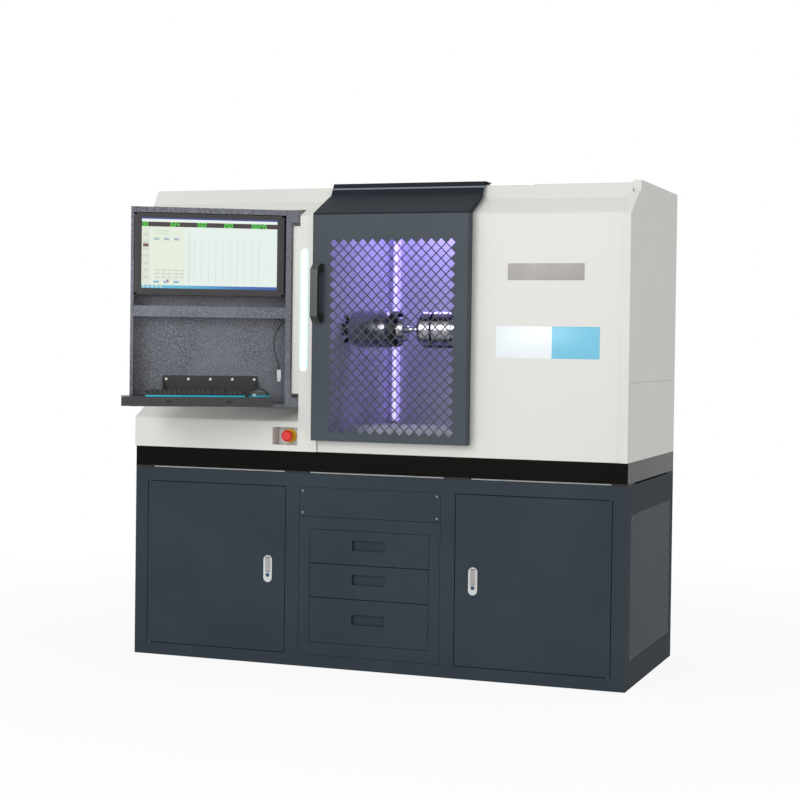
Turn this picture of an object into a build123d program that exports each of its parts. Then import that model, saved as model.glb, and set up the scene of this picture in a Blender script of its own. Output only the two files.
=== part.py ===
from build123d import *
import math
import os

# Torsion testing machine on a steel cabinet, in millimetres.
# +X is the machine's right, -Y its front and +Z up.
# The origin is on the floor, under the centre of the cabinet.

# Machine outline
WIDTH = 2150.0
DEPTH = 860.0
CABINET_HEIGHT = 800.0
BED_FOOT_HEIGHT = 8.0
BED_HEIGHT = 82.0
HOUSING_HEIGHT = 1102.0
LEFT = -WIDTH / 2
RIGHT = WIDTH / 2
FRONT = -DEPTH / 2
BACK = DEPTH / 2
BED_TOP = CABINET_HEIGHT + BED_FOOT_HEIGHT + BED_HEIGHT
ROOF_TOP = BED_TOP + HOUSING_HEIGHT

# Sheets, fits and gaps
CABINET_SHEET = 2.0
HOUSING_SHEET = 2.0
DOOR_SHEET = 1.5
RUNNING_FIT = 0.05
SEAT_GAP = 0.3
SEAM = 1.5
DOOR_GAP = 3.0
CUT = 1.0

# Cabinet front: two doors with a drawer bank between them
STILE_WIDTH = 58.0
MULLION_WIDTH = 61.0
DOOR_OPENING_WIDTH = 646.0
OPENING_BOTTOM = 50.0
OPENING_TOP = CABINET_HEIGHT - 56.0
LIP_DEPTH = 25.0
PAN_DEPTH = 18.0
PIVOT_INSET = 6.0
PIVOT_RADIUS = 3.0
PIVOT_COLLAR_RADIUS = 5.0
PIVOT_RIVET = 2.0
PIVOT_ENGAGEMENT = 4.0
DOOR_EDGE = WIDTH / 2 - STILE_WIDTH
DOOR_INNER = DOOR_EDGE - DOOR_OPENING_WIDTH
BANK_HALF = DOOR_INNER - MULLION_WIDTH
DECK_Z = OPENING_BOTTOM - 2 * CABINET_SHEET
TUBE_HALF = 30.0

# Side service panels and vents
SIDE_MARGIN = 58.0
JOGGLE = 16.0
VENT_LENGTH = 180.0
VENT_HEIGHT = 8.0
VENT_PITCH = 24.0
VENT_ROWS = 4

# Centre panel and its screws
PANEL_HEIGHT = 121.0
PANEL_RETURN = 14.0
SCREW_INSET = 16.0
SCREW_RADIUS = 5.0
SCREW_HEAD = 2.5
HEAD_SIDES = 6
PANEL_BOTTOM = OPENING_TOP - PANEL_HEIGHT

# Drawers, from the lowest up
DRAWER_NAMES = ("drawer_bottom", "drawer_middle", "drawer_top")
DRAWER_HEIGHTS = (187.0, 141.0, 141.0)
DRAWER_HALF = 262.0
BOTTOM_RAIL = 53.0
DRAWER_DEPTH = 480.0
BOX_SIDE_GAP = 14.0
BOX_RELIEF = 30.0
RUNNER_SHEET = 2.0
RUNNER_HEIGHT = 26.0
RUNNER_LIFT = 30.0
RUNNER_REACH = 12.0
STRIP_WIDTH = 10.0
STRIP_HEIGHT = 8.0
PULL_WIDTH = 144.0
PULL_HEIGHT = 42.0
PULL_DEPTH = 14.0
PULL_RISE = 10.0

# Door locks
LOCK_EDGE_DISTANCE = 79.0
LOCK_Z = OPENING_TOP - 348.0
LOCK_LENGTH = 112.0
LOCK_WIDTH = 38.0
LOCK_PLATE = 3.0
LOCK_BOX_DEPTH = 12.0
LOCK_BOX_HALF = 13.0
LOCK_BOX_TOP = 52.0
LOCK_BOX_BOTTOM = 48.0
LEVER_LENGTH = 58.0
LEVER_WIDTH = 20.0
LEVER_THICKNESS = 9.0
LEVER_PROUD = 1.0
LEVER_TOP = 46.0
LEVER_CLEARANCE = 0.5
LEVER_SWING_ROOM = 4.0
TRUNNION_RADIUS = 2.0
TRUNNION_DROP = 6.0
CYLINDER_DROP = 26.0
CYLINDER_RADIUS = 8.5
CAM_LENGTH = 92.0
CAM_WIDTH = 14.0
CAM_THICKNESS = 3.0
KEY_SLOT_WIDTH = 1.6
KEY_SLOT_HEIGHT = 8.0

# Upper housing profile: depths from the front plane, heights above the floor
OVERHANG = 12.0
PROUD_FACE = FRONT - OVERHANG
FOLD_Z = ROOF_TOP - 130.0
SLOPE_Y = FRONT + 135.0
SLOPE_Z = ROOF_TOP - 62.0
BAND_Y = FRONT + 163.0
BAND_Z = ROOF_TOP - 8.0
ROOF_Y = FRONT + 173.0
ROOF_JOINT_Y = FRONT + 225.0
FOLD_RADIUS = 12.0
NOSE_FOLD_RADIUS = 3.0
COLUMN_LEFT = LEFT + 760.0
COLUMN_RIGHT = COLUMN_LEFT + 82.0
STRIP_TOP_Z = BED_TOP + 123.0
LEDGE_Y = FRONT + 76.0
LEDGE_Z = BED_TOP + 172.0
RECESS_Y = FRONT + 112.0
RECESS_TOP_Z = ROOF_TOP - 102.0
SILL_Z = BED_TOP + 48.0
OPENING_RIGHT = COLUMN_RIGHT + 648.0
OPENING_RETURN = 25.0
OPENING_TOP_Y = SLOPE_Y - 12.0

# Bed
BED_WALL = 30.0
BED_PLATE = 32.0
BED_RIB = 24.0
BED_BAYS = 4
BED_FEET = ((LEFT + 40.0, 80.0), (COLUMN_LEFT - 8.5, 109.0), (OPENING_RIGHT - 38.5, 113.0),
            (RIGHT - 32.5, 65.0))
BED_FOOT_DEPTH = 120.0

# Right end cover
END_WIDTH = 32.0
END_FOLD_Z = ROOF_TOP - 136.0
END_SLOPE_Y = FRONT + 128.0
END_SLOPE_Z = ROOF_TOP - 42.0
END_BAND_Y = FRONT + 158.0
END_BAND_Z = ROOF_TOP - 37.0
END_TOP_Z = ROOF_TOP + 8.0
END_RADIUS = 6.0
END_RIM = 46.0
HOUSING_PANELS = 3
HOUSING_VENT_DROP = 120.0

# Light strip in the column
LED_X = COLUMN_LEFT + 21.0
LED_Z = BED_TOP + 584.0
LED_WIDTH = 34.0
LED_LENGTH = 502.0
LED_PROUD = 2.0
LED_SUNK = 4.0

# Emergency stop in its pocket
POCKET_LEFT = COLUMN_LEFT - 115.0
POCKET_BOTTOM = BED_TOP + 25.0
POCKET_TOP = BED_TOP + 98.0
POCKET_DEPTH = 60.0
STOP_COLLAR_RADIUS = 28.5
STOP_COLLAR_HEIGHT = 12.0
STOP_GAP = 8.0
STOP_TRAVEL = 6.0
STOP_HEAD_RADIUS = 24.0
STOP_HEAD_HEIGHT = 30.0
STOP_NECK_RADIUS = 15.0
STOP_NECK_HEIGHT = 10.0
STOP_EDGE = 7.0
STOP_STEM_RADIUS = 7.0
STOP_TIP_RADIUS = 5.0
STOP_TIP_LENGTH = 10.0
STOP_BARREL_RADIUS = 13.0
STOP_BLOCK = 42.0
STOP_BLOCK_DEPTH = 46.0
STOP_BLOCK_FLOOR = 8.0

# Sliding safety door and its hood
SAFETY_LEFT = COLUMN_RIGHT - 4.0
SAFETY_RIGHT = OPENING_RIGHT + 15.0
SAFETY_BOTTOM = BED_TOP + 50.0
SAFETY_Y = FRONT - 60.0
SAFETY_LEFT_REAR = PROUD_FACE - 2.0
SAFETY_RIGHT_REAR = FRONT - 5.0
HOOD_FOLD_Z = ROOF_TOP - 124.0
HOOD_SLOPE_Y = FRONT + 125.0
HOOD_SLOPE_Z = ROOF_TOP - 36.0
HOOD_BAND_Y = FRONT + 140.0
HOOD_BAND_Z = ROOF_TOP - 9.0
HOOD_TOP_Y = FRONT + 154.0
HOOD_TOP_Z = ROOF_TOP + 14.0
HOOD_REAR_Y = FRONT + 250.0
HOOD_LIP_Z = ROOF_TOP + 4.0
HOOD_RADIUS = 3.0
HOOD_CLEARANCE = 8.0
WINDOW_PITCH = 42.0
WINDOW_COLUMNS = 13
WINDOW_ROWS = 19
WINDOW_HOLE = 25.0
WINDOW_X = COLUMN_RIGHT + 341.0
WINDOW_Z = BED_TOP + 477.0
HANDLE_X = SAFETY_LEFT + 30.0
HANDLE_Z = BED_TOP + 652.0
HANDLE_LENGTH = 238.0
HANDLE_WIDTH = 32.0
HANDLE_REACH = 56.0
HANDLE_BAR = 16.0
HANDLE_FOOT = 34.0
HANDLE_CHAMFER = 24.0
HANDLE_PAD_WIDTH = 42.0
HANDLE_PAD = 5.0
TRACK_Y = FRONT + 205.0
TRACK_WIDTH = 22.0
TRACK_HEIGHT = 7.0
TRACK_LEFT = SAFETY_LEFT + 12.0
TRACK_RIGHT = SAFETY_RIGHT + 195.0
SHOE_CENTRES = (SAFETY_LEFT + 52.0, SAFETY_LEFT + 217.0)
SHOE_LENGTH = 60.0
SHOE_WIDTH = 46.0
SHOE_CLEARANCE = 0.5
SHOE_LIFT = 1.5

# Test chamber and drive line
AXIS_Y = FRONT + 300.0
AXIS_Z = BED_TOP + 512.0
CHAMBER_BACK_Y = FRONT + 800.0
CHAMBER_RIGHT = RIGHT - 40.0
CHAMBER_SHEET = 3.0
PARTITION_DROP = 12.0
PARTITION_RIGHT = COLUMN_RIGHT
SPINDLE_RADIUS = 30.0
SPINDLE_HOLE_RADIUS = 60.0
SPINDLE_COLLAR_RADIUS = 48.0
SPINDLE_COLLAR_LENGTH = 14.0
SPINDLE_SOCKET = 55.0
HEADSTOCK_RIGHT = COLUMN_RIGHT - 25.0
HEADSTOCK_LENGTH = 170.0
HEADSTOCK_HALF = 110.0
HEADSTOCK_RISE = 95.0
HEADSTOCK_CHAMFER = 40.0
HEADSTOCK_BASE = 26.0
HEADSTOCK_BASE_HALF = 150.0
HEADSTOCK_BASE_STEP = 20.0
COUPLING_GAP = 40.0
GEARBOX_HALF = 90.0
GEARBOX_LENGTH = 210.0
GEARBOX_CHAMFER = 18.0
MOTOR_HALF = 75.0
MOTOR_LENGTH = 250.0
STAND_WALL = 20.0
STAND_INSET = 10.0
CHUCK_BACK = COLUMN_RIGHT + 38.0
CHUCK_RADIUS = 80.0
CHUCK_FLANGE_RADIUS = 74.0
CHUCK_FLANGE_LENGTH = 24.0
CHUCK_CHAMFER = 8.0
DRIVE_CHUCK_LENGTH = 172.0
TAIL_CHUCK_LENGTH = 115.0
NOSE_LENGTH = 62.0
NOSE_RADIUS = 52.0
NOSE_ROOT_RADIUS = 60.0
JAW_WIDTH = 30.0
JAW_LENGTH = 60.0
JAW_INNER = 6.0
JAW_OUTER = 44.0
JAW_FIT = 0.1
GRIP_DEPTH = 54.0
SPECIMEN_RADIUS = 15.0
SPECIMEN_WAIST_RADIUS = 11.0
SPECIMEN_VISIBLE = 69.0
SPECIMEN_SHOULDER = 10.0
SPECIMEN_TAPER = 8.0
GRIP_CLEARANCE = 0.3
SENSOR_RADIUS = 62.0
SENSOR_WAIST_RADIUS = 46.0
SENSOR_FLANGE = 12.0
PLINTH_LEFT = CHUCK_BACK
PLINTH_RIGHT = RIGHT - 70.0
PLINTH_HALF = 120.0
PLINTH_HEIGHT = 84.0
GUIDE_OFFSET = 85.0
GUIDE_HALF = 11.5
GUIDE_HEIGHT = 22.0
GUIDE_INSET = 30.0
BLOCK_LENGTH = 80.0
BLOCK_HALF = 30.0
BLOCK_TOP = 13.0
BLOCK_LIFT = 4.0
TAIL_LEFT = CHUCK_BACK + 520.0
TAIL_LENGTH = 240.0
TAIL_HALF = 125.0
TAIL_PLATE = 22.0
TOWER_SETBACK = 40.0
TOWER_HALF = 90.0
TOWER_RISE = 100.0
TOWER_CHAMFER = 36.0
DRIVE_NOSE = CHUCK_BACK + DRIVE_CHUCK_LENGTH + NOSE_LENGTH
TAIL_BACK = DRIVE_NOSE + SPECIMEN_VISIBLE + NOSE_LENGTH + TAIL_CHUCK_LENGTH

# Console: laid out closed against the housing, then swung about its hinge
CONSOLE_SWING = 30.0
HINGE_X = COLUMN_LEFT - 16.0
HINGE_Y = FRONT - 4.0
CONSOLE_LEFT = LEFT + 67.0
CONSOLE_RIGHT = COLUMN_LEFT - 41.0
CONSOLE_FRONT = PROUD_FACE
CONSOLE_DEPTH = 95.0
CONSOLE_BOTTOM = BED_TOP + 182.0
CONSOLE_TOP = ROOF_TOP - 108.0
CONSOLE_EDGE = 12.0
CONSOLE_FLANGE = 22.0
ARM_RIGHT = COLUMN_LEFT - 4.0
ARM_DEPTH = 26.0
TOP_ARM = 50.0
BOTTOM_ARM = 40.0
HINGE_PIN_RADIUS = 5.0
HINGE_PIN_LENGTH = 26.0
HINGE_PLATE = 12.0
HINGE_PLATE_HALF = 11.0
CROSS_RAIL_Z = CONSOLE_TOP - 446.0
CROSS_RAIL_HEIGHT = 44.0
CROSS_RAIL_DEPTH = 16.0
MONITOR_LEFT = CONSOLE_LEFT + 32.0
MONITOR_RIGHT = CONSOLE_RIGHT - 38.0
MONITOR_BOTTOM = CONSOLE_TOP - 371.0
MONITOR_TOP = CONSOLE_TOP - 28.0
MONITOR_FRONT = FRONT - 8.0
MONITOR_DEPTH = 38.0
BEZEL_SIDE = 18.0
BEZEL_TOP = 18.0
BEZEL_BOTTOM = 23.0
SCREEN_RECESS = 2.0
MOUNT_HALF = 50.0
TRAY_TOP = CONSOLE_BOTTOM + 45.0
TRAY_SHEET = 2.0
TRAY_LEFT = CONSOLE_LEFT - 33.0
TRAY_RIGHT = CONSOLE_RIGHT - 87.0
TRAY_FRONT = FRONT - 192.0
TRAY_REAR = FRONT - 15.0
TRAY_LIP_Z = CONSOLE_BOTTOM + 8.0
NECK_LEFT = CONSOLE_LEFT + 23.0
NECK_RIGHT = CONSOLE_RIGHT - 99.0
BRACKET_LEFT = CONSOLE_LEFT + 134.0
BRACKET_RIGHT = CONSOLE_RIGHT - 126.0
BRACKET_TOP = TRAY_TOP + 81.0
BRACKET_SHEET = 3.0
GUSSET_REACH = 66.0
GUSSET_TOP = TRAY_TOP + 73.0
BOLT_COUNT = 5
BOLT_Z = TRAY_TOP + 66.0
BOLT_INSET = 15.0
BOLT_RADIUS = 6.0
BOLT_HEAD = 4.0
KEYBOARD_LEFT = CONSOLE_LEFT + 63.0
KEYBOARD_RIGHT = KEYBOARD_LEFT + 393.0
KEYBOARD_FRONT = FRONT - 180.0
KEYBOARD_REAR = FRONT - 45.0
KEYBOARD_LOW = 11.0
KEYBOARD_HIGH = 19.0
MOUSE_X = CONSOLE_RIGHT - 134.0
MOUSE_Y = FRONT - 112.0
MOUSE_LONG = 45.0
MOUSE_SHORT = 29.0
MOUSE_HEIGHT = 28.0
MOUSE_ROUND = 13.0

# Hanging data lead with a bead and a plug, in the console's closed position
LEAD_RADIUS = 2.5
LEAD_ROUTE = (
    (CONSOLE_RIGHT - 40.0, FRONT - 3.0, CROSS_RAIL_Z),
    (CONSOLE_RIGHT - 40.0, FRONT - 3.0, CROSS_RAIL_Z - 18.0),
    (CONSOLE_RIGHT - 56.0, FRONT - 1.0, CROSS_RAIL_Z - 46.0),
    (CONSOLE_RIGHT - 67.0, FRONT + 1.0, CROSS_RAIL_Z - 86.0),
    (CONSOLE_RIGHT - 66.0, FRONT + 2.0, CROSS_RAIL_Z - 130.0),
    (CONSOLE_RIGHT - 54.0, FRONT + 1.0, CROSS_RAIL_Z - 170.0),
    (CONSOLE_RIGHT - 45.0, FRONT, CROSS_RAIL_Z - 194.0),
    (CONSOLE_RIGHT - 45.0, FRONT, CROSS_RAIL_Z - 212.0),
)
ARC_SHARE = 0.45
BEAD_RADIUS = 7.0
BEAD_RUN = 2
PLUG_LENGTH = 34.0
PLUG_HALF_WIDTH = 8.0
PLUG_HALF_DEPTH = 4.5
TIP_LENGTH = 14.0
TIP_HALF_WIDTH = 6.0
TIP_HALF_DEPTH = 2.3

# Control gear and computer inside the cabinet
GEAR_X = -(DOOR_EDGE + DOOR_INNER) / 2
GEAR_PLATE_HALF = 280.0
GEAR_PLATE_BOTTOM = OPENING_BOTTOM + 70.0
GEAR_PLATE_TOP = OPENING_TOP - 44.0
GEAR_PLATE = 3.0
GEAR_STANDOFF = 20.0
GEAR_BLOCKS = (
    (-235.0, -145.0, 180.0, 350.0, 600.0),
    (-105.0, 85.0, 90.0, 400.0, 620.0),
    (125.0, 245.0, 70.0, 430.0, 600.0),
    (-220.0, 220.0, 48.0, 170.0, 240.0),
)
COMPUTER_LEFT = DOOR_INNER + 229.0
COMPUTER_WIDTH = 180.0
COMPUTER_DEPTH = 400.0
COMPUTER_HEIGHT = 390.0
COMPUTER_Y = -150.0


def block(x_range, y_range, z_range):
    """Rectangular solid from its three (low, high) ranges."""
    low = Align.MIN
    solid = Box(x_range[1] - x_range[0], y_range[1] - y_range[0], z_range[1] - z_range[0],
                align=(low, low, low))
    return Pos(x_range[0], y_range[0], z_range[0]) * solid


def rod(start, end, radius):
    """Round bar between two points."""
    direction = Vector(*end) - Vector(*start)
    plane = Plane(origin=start, z_dir=direction)
    return extrude(plane * Circle(radius), amount=direction.length)


def hex_head(start, end, radius):
    """Hexagonal head between two points."""
    direction = Vector(*end) - Vector(*start)
    plane = Plane(origin=start, z_dir=direction)
    return extrude(plane * RegularPolygon(radius, HEAD_SIDES), amount=direction.length)


def across(face, x_range):
    """Solid of a (y, z) face run along X."""
    return Pos(x_range[0], 0, 0) * extrude(Plane.YZ * face, amount=x_range[1] - x_range[0])


def polygon(points):
    """Flat face inside a closed outline."""
    return make_face(Polyline(*points, close=True))


def rounded_polygon(points, radii):
    """Closed outline whose middle corners are rounded."""
    line = FilletPolyline(*points, radius=radii)
    return make_face([line, Line(line @ 1, line @ 0)])


def bent_sheet(points, radii, x_range, sheet):
    """Folded sheet along a (y, z) line, thickened to the right of its direction."""
    line = FilletPolyline(*points, radius=radii)
    outline = offset(line, amount=sheet, side=Side.RIGHT, closed=True)
    return across(make_face(outline.edges()), x_range)


def upright(face, y_range):
    """Solid of an (x, z) face run along Y."""
    plane = Plane(origin=(0, y_range[1], 0), x_dir=(1, 0, 0), z_dir=(0, -1, 0))
    return extrude(plane * face, amount=y_range[1] - y_range[0])


def turned(points, place):
    """Turned piece about the drive axis from an (x, radius) outline."""
    return Pos(*place) * revolve(polygon(points), axis=Axis.X)


def pan(x_range, z_range, depth, sheet):
    """Sheet folded back round all four edges, open at the rear."""
    outer = block(x_range, (FRONT, FRONT + depth), z_range)
    inner = block((x_range[0] + sheet, x_range[1] - sheet), (FRONT + sheet, FRONT + depth + CUT),
                  (z_range[0] + sheet, z_range[1] - sheet))
    return outer - inner


def seamed_pan(x_range, z_range, depth, sheet):
    """Pan with a seam round its front and returns that seat against the opening."""
    front = block((x_range[0] + SEAM, x_range[1] - SEAM), (FRONT, FRONT + sheet),
                  (z_range[0] + SEAM, z_range[1] - SEAM))
    x_low, x_high = x_range[0] + SEAT_GAP, x_range[1] - SEAT_GAP
    z_low, z_high = z_range[0] + SEAT_GAP, z_range[1] - SEAT_GAP
    outer = block((x_low, x_high), (FRONT + sheet, FRONT + depth), (z_low, z_high))
    inner = block((x_low + sheet, x_high - sheet), (FRONT + sheet, FRONT + depth + CUT),
                  (z_low + sheet, z_high - sheet))
    return front + (outer - inner)


def both_sides(solid):
    """A piece and its mirror image in the machine's middle plane."""
    return [solid, mirror(solid, about=Plane.YZ)]


def save(name, *pieces):
    """Write one node; its separate solids stay apart."""
    solids = [solid for piece in pieces for solid in piece.solids()]
    shape = solids[0] if len(solids) == 1 else Compound(children=solids)
    export_step(shape, f"parts/{name}.step")


# Cabinet


def door_openings():
    """Left and right door openings as X ranges."""
    return {"left": (-DOOR_EDGE, -DOOR_INNER), "right": (DOOR_INNER, DOOR_EDGE)}


def pivot_x(side):
    inset = DOOR_EDGE - DOOR_GAP - PIVOT_INSET
    return -inset if side == "left" else inset


def lock_x(side):
    inset = DOOR_INNER + LOCK_EDGE_DISTANCE
    return -inset if side == "left" else inset


def cabinet_front_frame():
    """Front plate whose three openings have lips turned back round them."""
    openings = list(door_openings().values()) + [(-BANK_HALF, BANK_HALF)]
    frame = block((LEFT, RIGHT), (FRONT, FRONT + CABINET_SHEET), (0, CABINET_HEIGHT))
    for x_low, x_high in openings:
        frame += block((x_low - CABINET_SHEET, x_high + CABINET_SHEET), (FRONT, FRONT + LIP_DEPTH),
                       (OPENING_BOTTOM - CABINET_SHEET, OPENING_TOP + CABINET_SHEET))
    for x_range in openings:
        frame -= block(x_range, (FRONT - CUT, FRONT + LIP_DEPTH + CUT), (OPENING_BOTTOM, OPENING_TOP))
    y = FRONT + PIVOT_INSET
    for side in ("left", "right"):
        x = pivot_x(side)
        frame -= rod((x, y, OPENING_BOTTOM - CABINET_SHEET - CUT), (x, y, OPENING_BOTTOM), PIVOT_RADIUS)
        frame -= rod((x, y, OPENING_TOP), (x, y, OPENING_TOP + CABINET_SHEET), PIVOT_RADIUS)
    return frame


def door_pivot_pins():
    """Riveted pivot pins; the lower ones have a collar under the door."""
    pins = []
    y = FRONT + PIVOT_INSET
    reach = DOOR_GAP + DOOR_SHEET + PIVOT_ENGAGEMENT
    for side in ("left", "right"):
        x = pivot_x(side)
        top = OPENING_TOP + CABINET_SHEET + PIVOT_RIVET
        pins.append(rod((x, y, OPENING_TOP - reach), (x, y, top), PIVOT_RADIUS))
        shaft = rod((x, y, OPENING_BOTTOM - CABINET_SHEET), (x, y, OPENING_BOTTOM + reach), PIVOT_RADIUS)
        collar = rod((x, y, OPENING_BOTTOM), (x, y, OPENING_BOTTOM + DOOR_GAP - SEAT_GAP),
                     PIVOT_COLLAR_RADIUS)
        pins.append(shaft + collar)
    return pins


def side_opening():
    """Y and Z ranges of the service opening in each side."""
    y_range = (FRONT + CABINET_SHEET + SIDE_MARGIN, BACK - SIDE_MARGIN)
    return y_range, (OPENING_BOTTOM + SIDE_MARGIN, OPENING_TOP - SIDE_MARGIN)


def vent_slots(x_centre, y_range, z_top, length):
    """Cutters for a stack of horizontal vent slots."""
    slots = []
    for row in range(VENT_ROWS):
        z = z_top - row * VENT_PITCH
        slots.append(block((x_centre - length / 2, x_centre + length / 2), y_range,
                           (z - VENT_HEIGHT, z)))
    return slots


def cabinet_walls():
    """Both sides with their service openings, and the vented back."""
    opening_y, opening_z = side_opening()
    side = block((LEFT, LEFT + CABINET_SHEET), (FRONT + CABINET_SHEET, BACK), (0, CABINET_HEIGHT))
    side -= block((LEFT - CUT, LEFT + CABINET_SHEET + CUT), opening_y, opening_z)
    back = block((LEFT + CABINET_SHEET, RIGHT - CABINET_SHEET), (BACK - CABINET_SHEET, BACK),
                 (0, CABINET_HEIGHT))
    for x_low, x_high in door_openings().values():
        for slot in vent_slots((x_low + x_high) / 2, (BACK - CABINET_SHEET - CUT, BACK + CUT),
                               OPENING_TOP - SIDE_MARGIN, VENT_LENGTH):
            back -= slot
    return both_sides(side) + [back]


def cabinet_decks():
    """Floor on its cross tube, top and the two partitions beside the drawers."""
    x_range = (LEFT + CABINET_SHEET, RIGHT - CABINET_SHEET)
    y_range = (FRONT + CABINET_SHEET, BACK - CABINET_SHEET)
    floor = block(x_range, y_range, (DECK_Z - CABINET_SHEET, DECK_Z))
    top = block(x_range, y_range, (CABINET_HEIGHT - CABINET_SHEET, CABINET_HEIGHT))
    centre = BANK_HALF + MULLION_WIDTH / 2
    partition = block((centre - CABINET_SHEET / 2, centre + CABINET_SHEET / 2), y_range,
                      (DECK_Z, CABINET_HEIGHT - CABINET_SHEET))
    tube_z = (0, DECK_Z - CABINET_SHEET)
    tube = block(x_range, (-TUBE_HALF, TUBE_HALF), tube_z)
    tube -= block(x_range, (CABINET_SHEET - TUBE_HALF, TUBE_HALF - CABINET_SHEET),
                  (tube_z[0] + CABINET_SHEET, tube_z[1] - CABINET_SHEET))
    return [floor, tube, top] + both_sides(partition)


def access_panels():
    """Screwed panel over the drawers and a joggled panel in each side."""
    front = seamed_pan((-BANK_HALF, BANK_HALF), (PANEL_BOTTOM, OPENING_TOP), PANEL_RETURN, CABINET_SHEET)
    (y_low, y_high), (z_low, z_high) = side_opening()
    face = block((LEFT, LEFT + CABINET_SHEET), (y_low + SEAM, y_high - SEAM),
                 (z_low + SEAM, z_high - SEAM))
    rim = block((LEFT + CABINET_SHEET, LEFT + 2 * CABINET_SHEET), (y_low - JOGGLE, y_high + JOGGLE),
                (z_low - JOGGLE, z_high + JOGGLE))
    return [front] + both_sides(face + rim)


def panel_screws():
    """Heads of the screws in the centre panel and the side panels."""
    screws = []
    z_pair = (PANEL_BOTTOM + SCREW_INSET, OPENING_TOP - SCREW_INSET)
    for x in (SCREW_INSET - BANK_HALF, BANK_HALF - SCREW_INSET):
        for z in z_pair:
            screws.append(hex_head((x, FRONT, z), (x, FRONT - SCREW_HEAD, z), SCREW_RADIUS))
    (y_low, y_high), (z_low, z_high) = side_opening()
    for y in (y_low + SCREW_INSET, y_high - SCREW_INSET):
        for z in (z_low + SCREW_INSET, z_high - SCREW_INSET):
            screws += both_sides(hex_head((LEFT, y, z), (LEFT - SCREW_HEAD, y, z), SCREW_RADIUS))
    return screws


def drawer_levels():
    """Bottom and top of each drawer front, from the lowest drawer up."""
    levels = []
    z = OPENING_BOTTOM + BOTTOM_RAIL
    for height in DRAWER_HEIGHTS:
        levels.append((z, z + height))
        z += height
    return levels


def drawer_bank():
    """Frame round the drawers with runner channels and a back plate."""
    levels = drawer_levels()
    frame = seamed_pan((-BANK_HALF, BANK_HALF), (OPENING_BOTTOM, PANEL_BOTTOM), LIP_DEPTH, CABINET_SHEET)
    frame -= block((-DRAWER_HALF, DRAWER_HALF), (FRONT - CUT, FRONT + CABINET_SHEET + CUT),
                   (levels[0][0], levels[-1][1]))
    solids = [frame]
    y_front = FRONT + CABINET_SHEET
    y_back = FRONT + PAN_DEPTH + DRAWER_DEPTH + SEAT_GAP
    for low, high in levels:
        z = low + RUNNER_LIFT
        web = block((DRAWER_HALF, DRAWER_HALF + RUNNER_SHEET), (y_front, y_back),
                    (z, z + RUNNER_HEIGHT))
        shelf = block((DRAWER_HALF - RUNNER_REACH, DRAWER_HALF), (FRONT + PAN_DEPTH + SEAT_GAP, y_back),
                      (z, z + RUNNER_SHEET))
        solids += both_sides(web + shelf)
    outer = DRAWER_HALF + RUNNER_SHEET
    solids.append(block((-outer, outer), (y_back, y_back + RUNNER_SHEET), (levels[0][0], levels[-1][1])))
    return solids


def pull_ranges(level):
    """X and Z ranges of a drawer's sunk pull."""
    centre = (level[0] + level[1]) / 2 + PULL_RISE
    x_range = (-PULL_WIDTH / 2, PULL_WIDTH / 2)
    return x_range, (centre - PULL_HEIGHT / 2, centre + PULL_HEIGHT / 2)


def drawer(level):
    """Drawer: front pan with a sunk pull, the box behind it and its runner strips."""
    half = DRAWER_HALF - SEAM
    z_low, z_high = level[0] + SEAM, level[1] - SEAM
    front = pan((-half, half), (z_low, z_high), PAN_DEPTH, DOOR_SHEET)
    (pull_left, pull_right), (pull_low, pull_high) = pull_ranges(level)
    front += block((pull_left - DOOR_SHEET, pull_right + DOOR_SHEET),
                   (FRONT, FRONT + PULL_DEPTH + DOOR_SHEET), (pull_low - DOOR_SHEET, pull_high + DOOR_SHEET))
    front -= block((pull_left, pull_right), (FRONT - CUT, FRONT + PULL_DEPTH), (pull_low, pull_high))
    box_half = DRAWER_HALF - BOX_SIDE_GAP
    y_low, y_high = FRONT + PAN_DEPTH, FRONT + PAN_DEPTH + DRAWER_DEPTH
    box_low, box_high = z_low, z_high - BOX_RELIEF
    outer = block((-box_half, box_half), (y_low, y_high), (box_low, box_high))
    inner = block((DOOR_SHEET - box_half, box_half - DOOR_SHEET),
                  (y_low + DOOR_SHEET, y_high - DOOR_SHEET), (box_low + DOOR_SHEET, box_high + CUT))
    body = front + (outer - inner)
    z = level[0] + RUNNER_LIFT + RUNNER_SHEET + SEAT_GAP
    strip = block((box_half, box_half + STRIP_WIDTH), (y_low + STRIP_WIDTH, y_high), (z, z + STRIP_HEIGHT))
    for side in both_sides(strip):
        body += side
    return body


def door_leaf_ranges(side):
    """X and Z ranges of a closed door."""
    x_low, x_high = door_openings()[side]
    return (x_low + DOOR_GAP, x_high - DOOR_GAP), (OPENING_BOTTOM + DOOR_GAP, OPENING_TOP - DOOR_GAP)


def cabinet_door(side):
    """Folded door with pivot holes in its ends and a cut-out for the lock."""
    x_range, z_range = door_leaf_ranges(side)
    leaf = pan(x_range, z_range, PAN_DEPTH, DOOR_SHEET)
    y = FRONT + PIVOT_INSET
    leaf -= rod((pivot_x(side), y, z_range[0] - CUT), (pivot_x(side), y, z_range[1] + CUT),
                PIVOT_RADIUS + RUNNING_FIT)
    x = lock_x(side)
    leaf -= block((x - LOCK_BOX_HALF, x + LOCK_BOX_HALF), (FRONT - CUT, FRONT + DOOR_SHEET + CUT),
                  (LOCK_Z - LOCK_BOX_BOTTOM, LOCK_Z + LOCK_BOX_TOP))
    return leaf


def pill(width, length):
    """Upright outline with round ends."""
    return SlotOverall(length, width, rotation=90)


def trunnion_place():
    """Y and Z of the lock lever's pivot."""
    return FRONT - LOCK_PLATE + TRUNNION_DROP, LOCK_Z + LEVER_TOP - TRUNNION_DROP


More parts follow.
